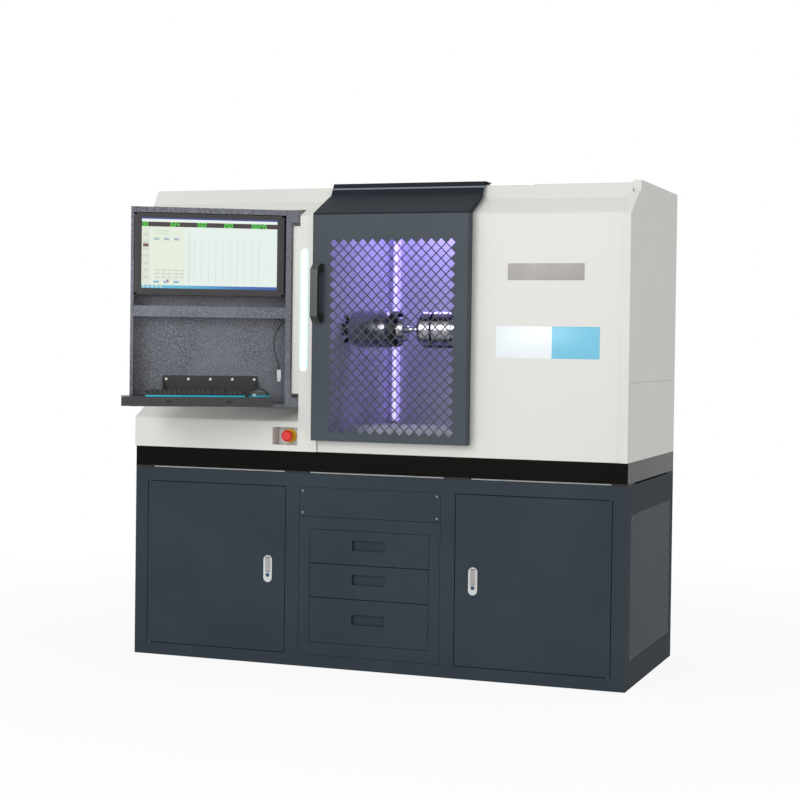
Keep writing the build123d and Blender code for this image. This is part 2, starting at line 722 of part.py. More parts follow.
def lock_plate(side):
    """Face plate with the lever's well, the cylinder's bore and the trunnion's hole."""
    x = lock_x(side)
    plate = Pos(x, 0, LOCK_Z) * upright(pill(LOCK_WIDTH, LOCK_LENGTH), (FRONT - LOCK_PLATE, FRONT))
    plate += block((x - LOCK_BOX_HALF, x + LOCK_BOX_HALF), (FRONT, FRONT + LOCK_BOX_DEPTH),
                   (LOCK_Z - LOCK_BOX_BOTTOM, LOCK_Z + LOCK_BOX_TOP))
    half = LEVER_WIDTH / 2 + LEVER_CLEARANCE
    lever_bottom = LOCK_Z + LEVER_TOP - LEVER_LENGTH
    plate -= block((x - half, x + half), (FRONT - LOCK_PLATE - CUT, FRONT + LOCK_BOX_DEPTH - DOOR_SHEET),
                   (lever_bottom - DOOR_SHEET, LOCK_Z + LEVER_TOP + LEVER_SWING_ROOM))
    z = LOCK_Z - CYLINDER_DROP
    plate -= rod((x, FRONT - LOCK_PLATE - CUT, z), (x, FRONT + LOCK_BOX_DEPTH + CUT, z),
                 CYLINDER_RADIUS + RUNNING_FIT)
    pin_y, pin_z = trunnion_place()
    reach = LOCK_BOX_HALF - CUT
    plate -= rod((x - reach, pin_y, pin_z), (x + reach, pin_y, pin_z), TRUNNION_RADIUS + RUNNING_FIT)
    return plate


def lock_lever(side):
    """Pull-out lever on its trunnion pin."""
    x = lock_x(side)
    y_front = FRONT - LOCK_PLATE - LEVER_PROUD
    top = LOCK_Z + LEVER_TOP
    bar = block((x - LEVER_WIDTH / 2, x + LEVER_WIDTH / 2), (y_front, y_front + LEVER_THICKNESS),
                (top - LEVER_LENGTH, top))
    bar = fillet(bar.edges().filter_by(Axis.X), TRUNNION_RADIUS)
    pin_y, pin_z = trunnion_place()
    reach = LOCK_BOX_HALF - CUT - SEAT_GAP
    return bar + rod((x - reach, pin_y, pin_z), (x + reach, pin_y, pin_z), TRUNNION_RADIUS)


def lock_cylinder(side):
    """Key cylinder with a cam that turns behind the frame's lip."""
    x = lock_x(side)
    z = LOCK_Z - CYLINDER_DROP
    y_face = FRONT - LOCK_PLATE - LEVER_PROUD
    cam_y = FRONT + LIP_DEPTH + SEAT_GAP
    core = rod((x, y_face, z), (x, cam_y + CAM_THICKNESS, z), CYLINDER_RADIUS)
    cam = block((x - CAM_WIDTH / 2, x + CAM_WIDTH / 2), (cam_y, cam_y + CAM_THICKNESS),
                (z - CAM_LENGTH, z))
    slot = block((x - KEY_SLOT_WIDTH / 2, x + KEY_SLOT_WIDTH / 2), (y_face - CUT, y_face + LEVER_PROUD),
                 (z - KEY_SLOT_HEIGHT / 2, z + KEY_SLOT_HEIGHT / 2))
    return core + cam - slot


# Bed


def bed():
    """Ribbed bed, open underneath: a plate on outer walls and cross ribs."""
    z_range = (CABINET_HEIGHT + BED_FOOT_HEIGHT, BED_TOP - BED_PLATE)
    solids = [block((LEFT, RIGHT), (FRONT, BACK), (z_range[1], BED_TOP))]
    for y in (FRONT, BACK - BED_WALL):
        solids.append(block((LEFT, RIGHT), (y, y + BED_WALL), z_range))
    inner_y = (FRONT + BED_WALL, BACK - BED_WALL)
    solids += both_sides(block((LEFT, LEFT + BED_WALL), inner_y, z_range))
    bay = (WIDTH - 2 * BED_WALL - (BED_BAYS - 1) * BED_RIB) / BED_BAYS
    for index in range(1, BED_BAYS):
        x = LEFT + BED_WALL + index * bay + (index - 1) * BED_RIB
        solids.append(block((x, x + BED_RIB), inner_y, z_range))
    return solids


def bed_feet():
    feet = []
    z_range = (CABINET_HEIGHT, CABINET_HEIGHT + BED_FOOT_HEIGHT)
    for centre, width in BED_FEET:
        for y in (FRONT, BACK - BED_FOOT_DEPTH):
            feet.append(block((centre - width / 2, centre + width / 2), (y, y + BED_FOOT_DEPTH), z_range))
    return feet


# Housing


def visor_top():
    """Upper part of the housing line, from the slope's end to the roof joint."""
    return [(SLOPE_Y, SLOPE_Z), (BAND_Y, BAND_Z), (ROOF_Y, ROOF_TOP), (ROOF_JOINT_Y, ROOF_TOP)]


def front_line(face_y):
    """Housing line from the bed up a front face and over the visor."""
    return [(face_y, BED_TOP), (face_y, FOLD_Z)] + visor_top()


def slope_y(z):
    """Depth of the proud visor's slope at a height."""
    share = (z - FOLD_Z) / (SLOPE_Z - FOLD_Z)
    return PROUD_FACE + share * (SLOPE_Y - PROUD_FACE)


def ledge_line():
    """Lower strip and ledge under the console."""
    return [(PROUD_FACE, BED_TOP), (PROUD_FACE, STRIP_TOP_Z), (LEDGE_Y, LEDGE_Z), (RECESS_Y, LEDGE_Z)]


def hood_over_recess():
    """Underside and front of the visor above the console recess."""
    return [(RECESS_Y, RECESS_TOP_Z), (slope_y(RECESS_TOP_Z), RECESS_TOP_Z)] + visor_top()


def housing_front_left():
    """Lower strip with the stop's pocket, recess back, column and visor."""
    x_range = (LEFT + HOUSING_SHEET, COLUMN_LEFT)
    strip = bent_sheet(ledge_line(), FOLD_RADIUS, x_range, HOUSING_SHEET)
    pocket_rear = PROUD_FACE + POCKET_DEPTH
    strip += block((POCKET_LEFT - HOUSING_SHEET, COLUMN_LEFT),
                   (PROUD_FACE + HOUSING_SHEET, pocket_rear + HOUSING_SHEET),
                   (POCKET_BOTTOM - HOUSING_SHEET, POCKET_TOP + HOUSING_SHEET))
    strip -= block((POCKET_LEFT, COLUMN_LEFT - HOUSING_SHEET), (PROUD_FACE - CUT, pocket_rear),
                   (POCKET_BOTTOM, POCKET_TOP))
    x, y, z = stop_centre()
    strip -= rod((x, y - CUT, z), (x, y + HOUSING_SHEET + CUT, z), STOP_BARREL_RADIUS + RUNNING_FIT)
    back = block(x_range, (RECESS_Y, RECESS_Y + HOUSING_SHEET), (LEDGE_Z - HOUSING_SHEET, RECESS_TOP_Z))
    column = bent_sheet(front_line(PROUD_FACE), FOLD_RADIUS, (COLUMN_LEFT, COLUMN_RIGHT), HOUSING_SHEET)
    column -= Pos(LED_X, 0, LED_Z) * upright(pill(LED_WIDTH, LED_LENGTH),
                                             (PROUD_FACE - CUT, PROUD_FACE + HOUSING_SHEET + CUT))
    cheek_y = (PROUD_FACE + HOUSING_SHEET, RECESS_Y + HOUSING_SHEET)
    for x in (COLUMN_LEFT, COLUMN_RIGHT - HOUSING_SHEET):
        column += block((x, x + HOUSING_SHEET), cheek_y, (BED_TOP, FOLD_Z - FOLD_RADIUS))
    radii = [NOSE_FOLD_RADIUS] + [FOLD_RADIUS] * 3
    visor = bent_sheet(hood_over_recess(), radii, x_range, HOUSING_SHEET)
    return [strip, back, column, visor]


def housing_front_right():
    """Right-hand front with its sill, the chamber's opening and that opening's returns."""
    sheet = bent_sheet(front_line(FRONT), FOLD_RADIUS, (COLUMN_RIGHT, RIGHT - END_WIDTH), HOUSING_SHEET)
    sheet -= block((COLUMN_RIGHT - CUT, OPENING_RIGHT), (FRONT - CUT, OPENING_TOP_Y), (SILL_Z, SLOPE_Z))
    sheet += block((COLUMN_RIGHT, OPENING_RIGHT), (FRONT, FRONT + OPENING_RETURN),
                   (SILL_Z - HOUSING_SHEET, SILL_Z))
    sheet += block((OPENING_RIGHT, OPENING_RIGHT + HOUSING_SHEET),
                   (FRONT + HOUSING_SHEET, FRONT + OPENING_RETURN), (SILL_Z - HOUSING_SHEET, FOLD_Z))
    return sheet


def housing_left_end():
    """Left end plate, cut back along the ledge and the console recess."""
    points = ledge_line() + hood_over_recess()[:-1] + [(BACK, ROOF_TOP), (BACK, BED_TOP)]
    radii = [FOLD_RADIUS] * 2 + [NOSE_FOLD_RADIUS] * 3 + [FOLD_RADIUS] * 3 + [NOSE_FOLD_RADIUS]
    return across(rounded_polygon(points, radii), (LEFT, LEFT + HOUSING_SHEET))


def housing_right_end():
    """Right end cover: a deep folded pan with a rim against the housing."""
    points = [
        (PROUD_FACE, BED_TOP), (PROUD_FACE, END_FOLD_Z), (END_SLOPE_Y, END_SLOPE_Z),
        (END_BAND_Y, END_BAND_Z), (END_BAND_Y, END_TOP_Z), (BACK, END_TOP_Z), (BACK, BED_TOP),
    ]
    outline = rounded_polygon(points, END_RADIUS)
    x_low = RIGHT - END_WIDTH
    cover = across(outline, (x_low, RIGHT))
    cover -= across(offset(outline, amount=-HOUSING_SHEET), (x_low + HOUSING_SHEET, RIGHT - HOUSING_SHEET))
    return cover - across(offset(outline, amount=-END_RIM), (x_low - CUT, x_low + HOUSING_SHEET + CUT))


def housing_roof():
    return block((LEFT + HOUSING_SHEET, RIGHT - END_WIDTH), (ROOF_JOINT_Y, BACK - HOUSING_SHEET),
                 (ROOF_TOP - HOUSING_SHEET, ROOF_TOP))


def housing_back():
    """Back cover in panels; the outer ones have vents."""
    x_low = LEFT + HOUSING_SHEET
    width = (RIGHT - END_WIDTH - x_low) / HOUSING_PANELS
    panels = []
    for index in range(HOUSING_PANELS):
        start = x_low + index * width
        panel = block((start + SEAM / 2, start + width - SEAM / 2), (BACK - HOUSING_SHEET, BACK),
                      (BED_TOP, ROOF_TOP))
        if index != HOUSING_PANELS // 2:
            for slot in vent_slots(start + width / 2, (BACK - HOUSING_SHEET - CUT, BACK + CUT),
                                   ROOF_TOP - HOUSING_VENT_DROP, VENT_LENGTH):
                panel -= slot
        panels.append(panel)
    return panels


def led_strip():
    outline = pill(LED_WIDTH - SEAT_GAP, LED_LENGTH - SEAT_GAP)
    return Pos(LED_X, 0, LED_Z) * upright(outline, (PROUD_FACE - LED_PROUD, PROUD_FACE + LED_SUNK))


# Emergency stop


def stop_centre():
    """Centre of the emergency stop on its pocket's floor."""
    x = (POCKET_LEFT + COLUMN_LEFT - HOUSING_SHEET) / 2
    return x, PROUD_FACE + POCKET_DEPTH, (POCKET_BOTTOM + POCKET_TOP) / 2


def estop_housing():
    """Yellow collar, barrel through the pocket's floor and contact block."""
    x, y, z = stop_centre()
    half = STOP_BLOCK / 2
    block_y = y + HOUSING_SHEET
    rear = block_y + STOP_BLOCK_DEPTH
    body = rod((x, y, z), (x, y - STOP_COLLAR_HEIGHT, z), STOP_COLLAR_RADIUS)
    body += rod((x, y, z), (x, block_y, z), STOP_BARREL_RADIUS)
    body += block((x - half, x + half), (block_y, rear), (z - half, z + half))
    return body - rod((x, y - STOP_COLLAR_HEIGHT - CUT, z), (x, rear - STOP_BLOCK_FLOOR, z),
                      STOP_STEM_RADIUS + RUNNING_FIT)


def stem_shoulder_y():
    """Y of the plunger's shoulder, where the head sits."""
    return stop_centre()[1] - STOP_COLLAR_HEIGHT - STOP_GAP


def estop_stem():
    """Plunger with the tip that the head turns on."""
    x, y, z = stop_centre()
    shoulder = stem_shoulder_y() + SEAT_GAP
    inner_end = y + HOUSING_SHEET + STOP_BLOCK_DEPTH - STOP_BLOCK_FLOOR - STOP_TRAVEL - SEAT_GAP
    stem = rod((x, shoulder, z), (x, inner_end, z), STOP_STEM_RADIUS)
    return stem + rod((x, shoulder, z), (x, shoulder - STOP_TIP_LENGTH, z), STOP_TIP_RADIUS)


def estop_mushroom():
    """Mushroom head, bored for the plunger's tip."""
    x, _, z = stop_centre()
    base = stem_shoulder_y()
    outline = [
        (STOP_TIP_RADIUS + RUNNING_FIT, 0), (STOP_NECK_RADIUS, 0), (STOP_NECK_RADIUS, STOP_NECK_HEIGHT),
        (STOP_HEAD_RADIUS, STOP_NECK_HEIGHT + STOP_EDGE), (STOP_HEAD_RADIUS, STOP_HEAD_HEIGHT - STOP_EDGE),
        (STOP_HEAD_RADIUS - STOP_EDGE, STOP_HEAD_HEIGHT), (0, STOP_HEAD_HEIGHT),
        (0, STOP_TIP_LENGTH), (STOP_TIP_RADIUS + RUNNING_FIT, STOP_TIP_LENGTH),
    ]
    head = revolve(Plane.XZ * polygon(outline), axis=Axis.Z)
    return Pos(x, base, z) * (Rot(90, 0, 0) * head)


# Safety door


def window_centres():
    """Centres of the diamond holes, in rows that alternate by one hole."""
    centres = []
    for row in range(2 * WINDOW_ROWS - 1):
        columns = WINDOW_COLUMNS - row % 2
        x = WINDOW_X - (columns - 1) * WINDOW_PITCH / 2
        z = WINDOW_Z + (WINDOW_ROWS - 1 - row) * WINDOW_PITCH / 2
        centres += [(x + column * WINDOW_PITCH, z) for column in range(columns)]
    return centres


def perforated_leaf():
    """Front sheet of the door with its diamond window."""
    middle = Pos((SAFETY_LEFT + SAFETY_RIGHT) / 2, (SAFETY_BOTTOM + FOLD_Z) / 2)
    sheet = middle * Rectangle(SAFETY_RIGHT - SAFETY_LEFT, FOLD_Z - SAFETY_BOTTOM)
    diamond = Rectangle(WINDOW_HOLE, WINDOW_HOLE, rotation=45)
    holes = [(Pos(x, z) * diamond).face().outer_wire() for x, z in window_centres()]
    return upright(Face(sheet.face().outer_wire(), holes), (SAFETY_Y, SAFETY_Y + DOOR_SHEET))


def safety_door():
    """Perforated leaf with its side and bottom returns."""
    inside = SAFETY_Y + DOOR_SHEET
    z_range = (SAFETY_BOTTOM, FOLD_Z)
    leaf = perforated_leaf()
    leaf += block((SAFETY_LEFT, SAFETY_LEFT + DOOR_SHEET), (inside, SAFETY_LEFT_REAR), z_range)
    leaf += block((SAFETY_RIGHT - DOOR_SHEET, SAFETY_RIGHT), (inside, SAFETY_RIGHT_REAR), z_range)
    leaf += block((SAFETY_LEFT + DOOR_SHEET, SAFETY_RIGHT - DOOR_SHEET), (inside, SAFETY_LEFT_REAR),
                  (SAFETY_BOTTOM, SAFETY_BOTTOM + DOOR_SHEET))
    return leaf


def door_hood():
    """Folded hood that hangs the door from the roof track, with its right-hand cheek."""
    points = [
        (SAFETY_Y, FOLD_Z), (SAFETY_Y, HOOD_FOLD_Z), (HOOD_SLOPE_Y, HOOD_SLOPE_Z),
        (HOOD_BAND_Y, HOOD_BAND_Z), (HOOD_TOP_Y, HOOD_TOP_Z), (HOOD_REAR_Y, HOOD_TOP_Z),
        (HOOD_REAR_Y, HOOD_LIP_Z),
    ]
    hood = bent_sheet(points, HOOD_RADIUS, (SAFETY_LEFT, SAFETY_RIGHT), DOOR_SHEET)
    cheek = polygon([
        (SAFETY_Y + DOOR_SHEET, FOLD_Z), (SAFETY_Y + DOOR_SHEET, HOOD_FOLD_Z - DOOR_SHEET),
        (HOOD_SLOPE_Y, HOOD_SLOPE_Z - DOOR_SHEET),
        (HOOD_SLOPE_Y, SLOPE_Z + HOOD_CLEARANCE), (SAFETY_RIGHT_REAR, FOLD_Z + HOOD_CLEARANCE),
        (SAFETY_RIGHT_REAR, FOLD_Z),
    ])
    return hood + across(cheek, (SAFETY_RIGHT - DOOR_SHEET, SAFETY_RIGHT))


def door_handle():
    """Bridge handle with chamfered corners on two wider pads."""
    half = HANDLE_LENGTH / 2
    front = SAFETY_Y - HANDLE_REACH
    knee = front + HANDLE_CHAMFER
    low, high = HANDLE_Z - half, HANDLE_Z + half
    bridge = polygon([
        (SAFETY_Y, low), (knee, low), (front, low + HANDLE_CHAMFER), (front, high - HANDLE_CHAMFER),
        (knee, high), (SAFETY_Y, high), (SAFETY_Y, high - HANDLE_FOOT),
        (front + HANDLE_BAR, high - HANDLE_FOOT), (front + HANDLE_BAR, low + HANDLE_FOOT),
        (SAFETY_Y, low + HANDLE_FOOT),
    ])
    handle = across(bridge, (HANDLE_X - HANDLE_WIDTH / 2, HANDLE_X + HANDLE_WIDTH / 2))
    for z in (low, high - HANDLE_FOOT):
        handle += block((HANDLE_X - HANDLE_PAD_WIDTH / 2, HANDLE_X + HANDLE_PAD_WIDTH / 2),
                        (SAFETY_Y - HANDLE_PAD, SAFETY_Y), (z, z + HANDLE_FOOT))
    return handle


def door_track():
    """Flat roof track that carries the door."""
    return block((TRACK_LEFT, TRACK_RIGHT), (TRACK_Y - TRACK_WIDTH / 2, TRACK_Y + TRACK_WIDTH / 2),
                 (ROOF_TOP, ROOF_TOP + TRACK_HEIGHT))


def door_shoes():
    """Two shoes under the hood that straddle the track."""
    shoes = []
    slot_half = TRACK_WIDTH / 2 + SHOE_CLEARANCE
    for x in SHOE_CENTRES:
        shoe = block((x - SHOE_LENGTH / 2, x + SHOE_LENGTH / 2),
                     (TRACK_Y - SHOE_WIDTH / 2, TRACK_Y + SHOE_WIDTH / 2),
                     (ROOF_TOP + SHOE_LIFT, HOOD_TOP_Z - DOOR_SHEET))
        shoe -= block((x - SHOE_LENGTH, x + SHOE_LENGTH), (TRACK_Y - slot_half, TRACK_Y + slot_half),
                      (ROOF_TOP, ROOF_TOP + TRACK_HEIGHT + SEAT_GAP))
        shoes.append(shoe)
    return shoes


# Chamber and drive line


def chamber_walls():
    """Partition with the spindle's hole and the chamber's back wall."""
    front = RECESS_Y + HOUSING_SHEET
    top = ROOF_TOP - HOUSING_SHEET
    outline = polygon([
        (front, BED_TOP), (front, slope_z_at(front) - PARTITION_DROP),
        (SLOPE_Y, SLOPE_Z - PARTITION_DROP), (BAND_Y, BAND_Z - PARTITION_DROP),
        (ROOF_Y + PARTITION_DROP, top), (CHAMBER_BACK_Y, top), (CHAMBER_BACK_Y, BED_TOP),
    ])
    left = PARTITION_RIGHT - CHAMBER_SHEET
    partition = across(outline, (left, PARTITION_RIGHT))
    partition -= rod((left - CUT, AXIS_Y, AXIS_Z), (PARTITION_RIGHT + CUT, AXIS_Y, AXIS_Z),
                     SPINDLE_HOLE_RADIUS)
    back = block((left, CHAMBER_RIGHT), (CHAMBER_BACK_Y, CHAMBER_BACK_Y + CHAMBER_SHEET), (BED_TOP, top))
    return [partition, back]


def slope_z_at(y):
    """Height of the proud visor's slope at a depth."""
    share = (y - PROUD_FACE) / (SLOPE_Y - PROUD_FACE)
    return FOLD_Z + share * (SLOPE_Z - FOLD_Z)


def headstock():
    """Bearing pedestal on its base plate."""
    x_range = (HEADSTOCK_RIGHT - HEADSTOCK_LENGTH, HEADSTOCK_RIGHT)
    base_top = BED_TOP + HEADSTOCK_BASE
    base = block((x_range[0] - HEADSTOCK_BASE_STEP, x_range[1]),
                 (AXIS_Y - HEADSTOCK_BASE_HALF, AXIS_Y + HEADSTOCK_BASE_HALF), (BED_TOP, base_top))
    tower = block(x_range, (AXIS_Y - HEADSTOCK_HALF, AXIS_Y + HEADSTOCK_HALF),
                  (base_top, AXIS_Z + HEADSTOCK_RISE))
    tower = chamfer(tower.edges().filter_by(Axis.X).group_by(Axis.Z)[-1], HEADSTOCK_CHAMFER)
    bore = rod((x_range[0] - CUT, AXIS_Y, AXIS_Z), (x_range[1] + CUT, AXIS_Y, AXIS_Z),
               SPINDLE_RADIUS + RUNNING_FIT)
    return base + tower - bore


def axis_block(x_range, half, edge):
    """Square housing centred on the drive axis with chamfered long edges."""
    solid = block(x_range, (AXIS_Y - half, AXIS_Y + half), (AXIS_Z - half, AXIS_Z + half))
    return chamfer(solid.edges().filter_by(Axis.X), edge)


def gearmotor():
    """Gearbox, servo motor and the stand that carries them."""
    right = HEADSTOCK_RIGHT - HEADSTOCK_LENGTH - COUPLING_GAP
    left = right - GEARBOX_LENGTH
    gearbox = axis_block((left, right), GEARBOX_HALF, GEARBOX_CHAMFER)
    gearbox -= rod((right - SPINDLE_SOCKET - SEAT_GAP, AXIS_Y, AXIS_Z), (right + CUT, AXIS_Y, AXIS_Z),
                   SPINDLE_RADIUS + RUNNING_FIT)
    motor = axis_block((left - MOTOR_LENGTH, left), MOTOR_HALF, GEARBOX_CHAMFER)
    outer = GEARBOX_HALF + STAND_WALL
    stand = block((left + STAND_INSET, right - STAND_INSET), (AXIS_Y - outer, AXIS_Y + outer),
                  (BED_TOP, AXIS_Z - GEARBOX_HALF))
    stand -= block((left, right), (AXIS_Y - GEARBOX_HALF, AXIS_Y + GEARBOX_HALF),
                   (BED_TOP + STAND_WALL, AXIS_Z - GEARBOX_HALF - STAND_WALL))
    return [gearbox, motor, stand]


def spindle():
    """Main shaft from the gearbox through the headstock to the chuck."""
    start = HEADSTOCK_RIGHT - HEADSTOCK_LENGTH - COUPLING_GAP - SPINDLE_SOCKET
    shaft = rod((start, AXIS_Y, AXIS_Z), (CHUCK_BACK, AXIS_Y, AXIS_Z), SPINDLE_RADIUS)
    collar_x = HEADSTOCK_RIGHT + SEAT_GAP
    return shaft + rod((collar_x, AXIS_Y, AXIS_Z), (collar_x + SPINDLE_COLLAR_LENGTH, AXIS_Y, AXIS_Z),
                       SPINDLE_COLLAR_RADIUS)


def chuck(length):
    """Chuck with its back at x = 0, its nose towards +X and a slot for the jaws."""
    front = length + NOSE_LENGTH
    body = turned([
        (0, 0), (0, CHUCK_FLANGE_RADIUS), (CHUCK_FLANGE_LENGTH, CHUCK_FLANGE_RADIUS),
        (CHUCK_FLANGE_LENGTH, CHUCK_RADIUS), (length - CHUCK_CHAMFER, CHUCK_RADIUS),
        (length, CHUCK_RADIUS - CHUCK_CHAMFER), (length, NOSE_ROOT_RADIUS), (front, NOSE_RADIUS),
        (front, 0),
    ], (0, 0, 0))
    half = JAW_WIDTH / 2 + JAW_FIT
    return body - block((front - JAW_LENGTH - SEAT_GAP, front + CUT), (-half, half),
                        (-CHUCK_RADIUS, CHUCK_RADIUS))


def chuck_jaw(length, side):
    """Jaw with a V groove; side is 1 above the specimen and -1 below."""
    front = length + NOSE_LENGTH
    half = JAW_WIDTH / 2
    apex = (SPECIMEN_RADIUS + GRIP_CLEARANCE) * math.sqrt(2)
    outline = polygon([
        (-half, apex - half), (0, apex), (half, apex - half), (half, JAW_OUTER), (-half, JAW_OUTER),
    ])
    jaw = across(outline, (front - JAW_LENGTH, front))
    return jaw if side > 0 else mirror(jaw, about=Plane.XY)


def at_drive(solid):
    return Pos(CHUCK_BACK, AXIS_Y, AXIS_Z) * solid


def at_tail(solid):
    return Pos(TAIL_BACK, AXIS_Y, AXIS_Z) * mirror(solid, about=Plane.YZ)


def specimen():
    """Turned test piece held in both chucks."""
    start = DRIVE_NOSE - GRIP_DEPTH
    length = SPECIMEN_VISIBLE + 2 * GRIP_DEPTH
    shoulder = GRIP_DEPTH + SPECIMEN_SHOULDER
    waist = shoulder + SPECIMEN_TAPER
    return turned([
        (0, 0), (0, SPECIMEN_RADIUS), (shoulder, SPECIMEN_RADIUS), (waist, SPECIMEN_WAIST_RADIUS),
        (length - waist, SPECIMEN_WAIST_RADIUS), (length - shoulder, SPECIMEN_RADIUS),
        (length, SPECIMEN_RADIUS), (length, 0),
    ], (start, AXIS_Y, AXIS_Z))


def guide_z():
    """Heights of the plinth's top and the guide rails' top."""
    plinth_top = BED_TOP + PLINTH_HEIGHT
    return plinth_top, plinth_top + GUIDE_HEIGHT


def linear_guides():
    """Plinth along the bed with two guide rails."""
    plinth_top, rail_top = guide_z()
    solids = [block((PLINTH_LEFT, PLINTH_RIGHT), (AXIS_Y - PLINTH_HALF, AXIS_Y + PLINTH_HALF),
                    (BED_TOP, plinth_top))]
    for y in (AXIS_Y - GUIDE_OFFSET, AXIS_Y + GUIDE_OFFSET):
        solids.append(block((PLINTH_LEFT + GUIDE_INSET, PLINTH_RIGHT - GUIDE_INSET),
                            (y - GUIDE_HALF, y + GUIDE_HALF), (plinth_top, rail_top)))
    return solids


def tail_carriage():
    """Four guide blocks, a base plate and the pedestal for the torque sensor."""
    plinth_top, rail_top = guide_z()
    block_top = rail_top + BLOCK_TOP
    groove_half = GUIDE_HALF + RUNNING_FIT
    solids = []
    for y in (AXIS_Y - GUIDE_OFFSET, AXIS_Y + GUIDE_OFFSET):
        for x in (TAIL_LEFT, TAIL_LEFT + TAIL_LENGTH - BLOCK_LENGTH):
            bearing = block((x, x + BLOCK_LENGTH), (y - BLOCK_HALF, y + BLOCK_HALF),
                            (plinth_top + BLOCK_LIFT, block_top))
            bearing -= block((x - CUT, x + BLOCK_LENGTH + CUT), (y - groove_half, y + groove_half),
                             (plinth_top, rail_top + RUNNING_FIT))
            solids.append(bearing)
    plate_top = block_top + TAIL_PLATE
    plate = block((TAIL_LEFT, TAIL_LEFT + TAIL_LENGTH), (AXIS_Y - TAIL_HALF, AXIS_Y + TAIL_HALF),
                  (block_top, plate_top))
    tower = block((TAIL_LEFT + TOWER_SETBACK, TAIL_LEFT + TAIL_LENGTH),
                  (AXIS_Y - TOWER_HALF, AXIS_Y + TOWER_HALF), (plate_top, AXIS_Z + TOWER_RISE))
    tower = chamfer(tower.edges().filter_by(Axis.X).group_by(Axis.Z)[-1], TOWER_CHAMFER)
    return solids + [plate + tower]


def torque_sensor():
    """Flanged torque cell between the pedestal and the tail chuck."""
    length = TAIL_LEFT + TOWER_SETBACK - TAIL_BACK
    return turned([
        (0, 0), (0, SENSOR_RADIUS), (SENSOR_FLANGE, SENSOR_RADIUS),
        (SENSOR_FLANGE, SENSOR_WAIST_RADIUS), (length - SENSOR_FLANGE, SENSOR_WAIST_RADIUS),
        (length - SENSOR_FLANGE, SENSOR_RADIUS), (length, SENSOR_RADIUS), (length, 0),
    ], (TAIL_BACK, AXIS_Y, AXIS_Z))


# Console


def swung(solid):
    """Turn a console piece from closed to the rest position about the hinge."""
    return Pos(HINGE_X, HINGE_Y, 0) * Rot(0, 0, CONSOLE_SWING) * Pos(-HINGE_X, -HINGE_Y, 0) * solid


def hinge_faces():
    """Faces of the arms that carry the hinge: under the top arm, over the bottom arm."""
    return CONSOLE_TOP - TOP_ARM, CONSOLE_BOTTOM + BOTTOM_ARM


def console_box():
    """Open-fronted box with its flange, cross rail and hinge arms."""
    sheet = HOUSING_SHEET
    rear = CONSOLE_FRONT + CONSOLE_DEPTH
    box = block((CONSOLE_LEFT, CONSOLE_RIGHT), (CONSOLE_FRONT, rear), (CONSOLE_BOTTOM, CONSOLE_TOP))
    box -= block((CONSOLE_LEFT + sheet, CONSOLE_RIGHT - sheet), (CONSOLE_FRONT + sheet, rear - sheet),
                 (CONSOLE_BOTTOM + sheet, CONSOLE_TOP - sheet))
    box -= block((CONSOLE_LEFT + CONSOLE_EDGE, CONSOLE_RIGHT - CONSOLE_FLANGE),
                 (CONSOLE_FRONT - CUT, CONSOLE_FRONT + sheet + CUT),
                 (CONSOLE_BOTTOM + CONSOLE_EDGE, CONSOLE_TOP - CONSOLE_FLANGE))
    inside = CONSOLE_FRONT + sheet
    rail_top = CROSS_RAIL_Z + CROSS_RAIL_HEIGHT
    rail = block((CONSOLE_LEFT + sheet, CONSOLE_RIGHT - sheet), (inside, inside + CROSS_RAIL_DEPTH),
                 (CROSS_RAIL_Z, rail_top))
    rail -= block((CONSOLE_LEFT + sheet, CONSOLE_RIGHT - sheet),
                  (inside + sheet, inside + CROSS_RAIL_DEPTH + CUT), (CROSS_RAIL_Z + sheet, rail_top - sheet))
    box += rail
    under_top, over_bottom = hinge_faces()
    arm_y = (CONSOLE_FRONT, CONSOLE_FRONT + ARM_DEPTH)
    box += block((CONSOLE_RIGHT, ARM_RIGHT), arm_y, (under_top, CONSOLE_TOP))
    box += block((CONSOLE_RIGHT, ARM_RIGHT), arm_y, (CONSOLE_BOTTOM, over_bottom))
    reach = HINGE_PIN_LENGTH + SEAT_GAP
    for z_low, z_high in ((under_top, under_top + reach), (over_bottom - reach, over_bottom)):
        box -= rod((HINGE_X, HINGE_Y, z_low), (HINGE_X, HINGE_Y, z_high), HINGE_PIN_RADIUS + RUNNING_FIT)
    return box


def console_hinges():
    """Two brackets on the column, each with the pin that enters an arm."""
    under_top, over_bottom = hinge_faces()
    x_range = (HINGE_X - HINGE_PLATE_HALF, COLUMN_LEFT)
    y_range = (HINGE_Y - HINGE_PLATE_HALF + SEAM, HINGE_Y + HINGE_PLATE_HALF)
    brackets = []
    for face, direction in ((under_top, -1), (over_bottom, 1)):
        near = face + direction * SEAT_GAP
        far = near + direction * HINGE_PLATE
        plate = block(x_range, y_range, (min(near, far), max(near, far)))
        pin = rod((HINGE_X, HINGE_Y, near), (HINGE_X, HINGE_Y, face - direction * HINGE_PIN_LENGTH),
                  HINGE_PIN_RADIUS)
        brackets.append(plate + pin)
    return brackets


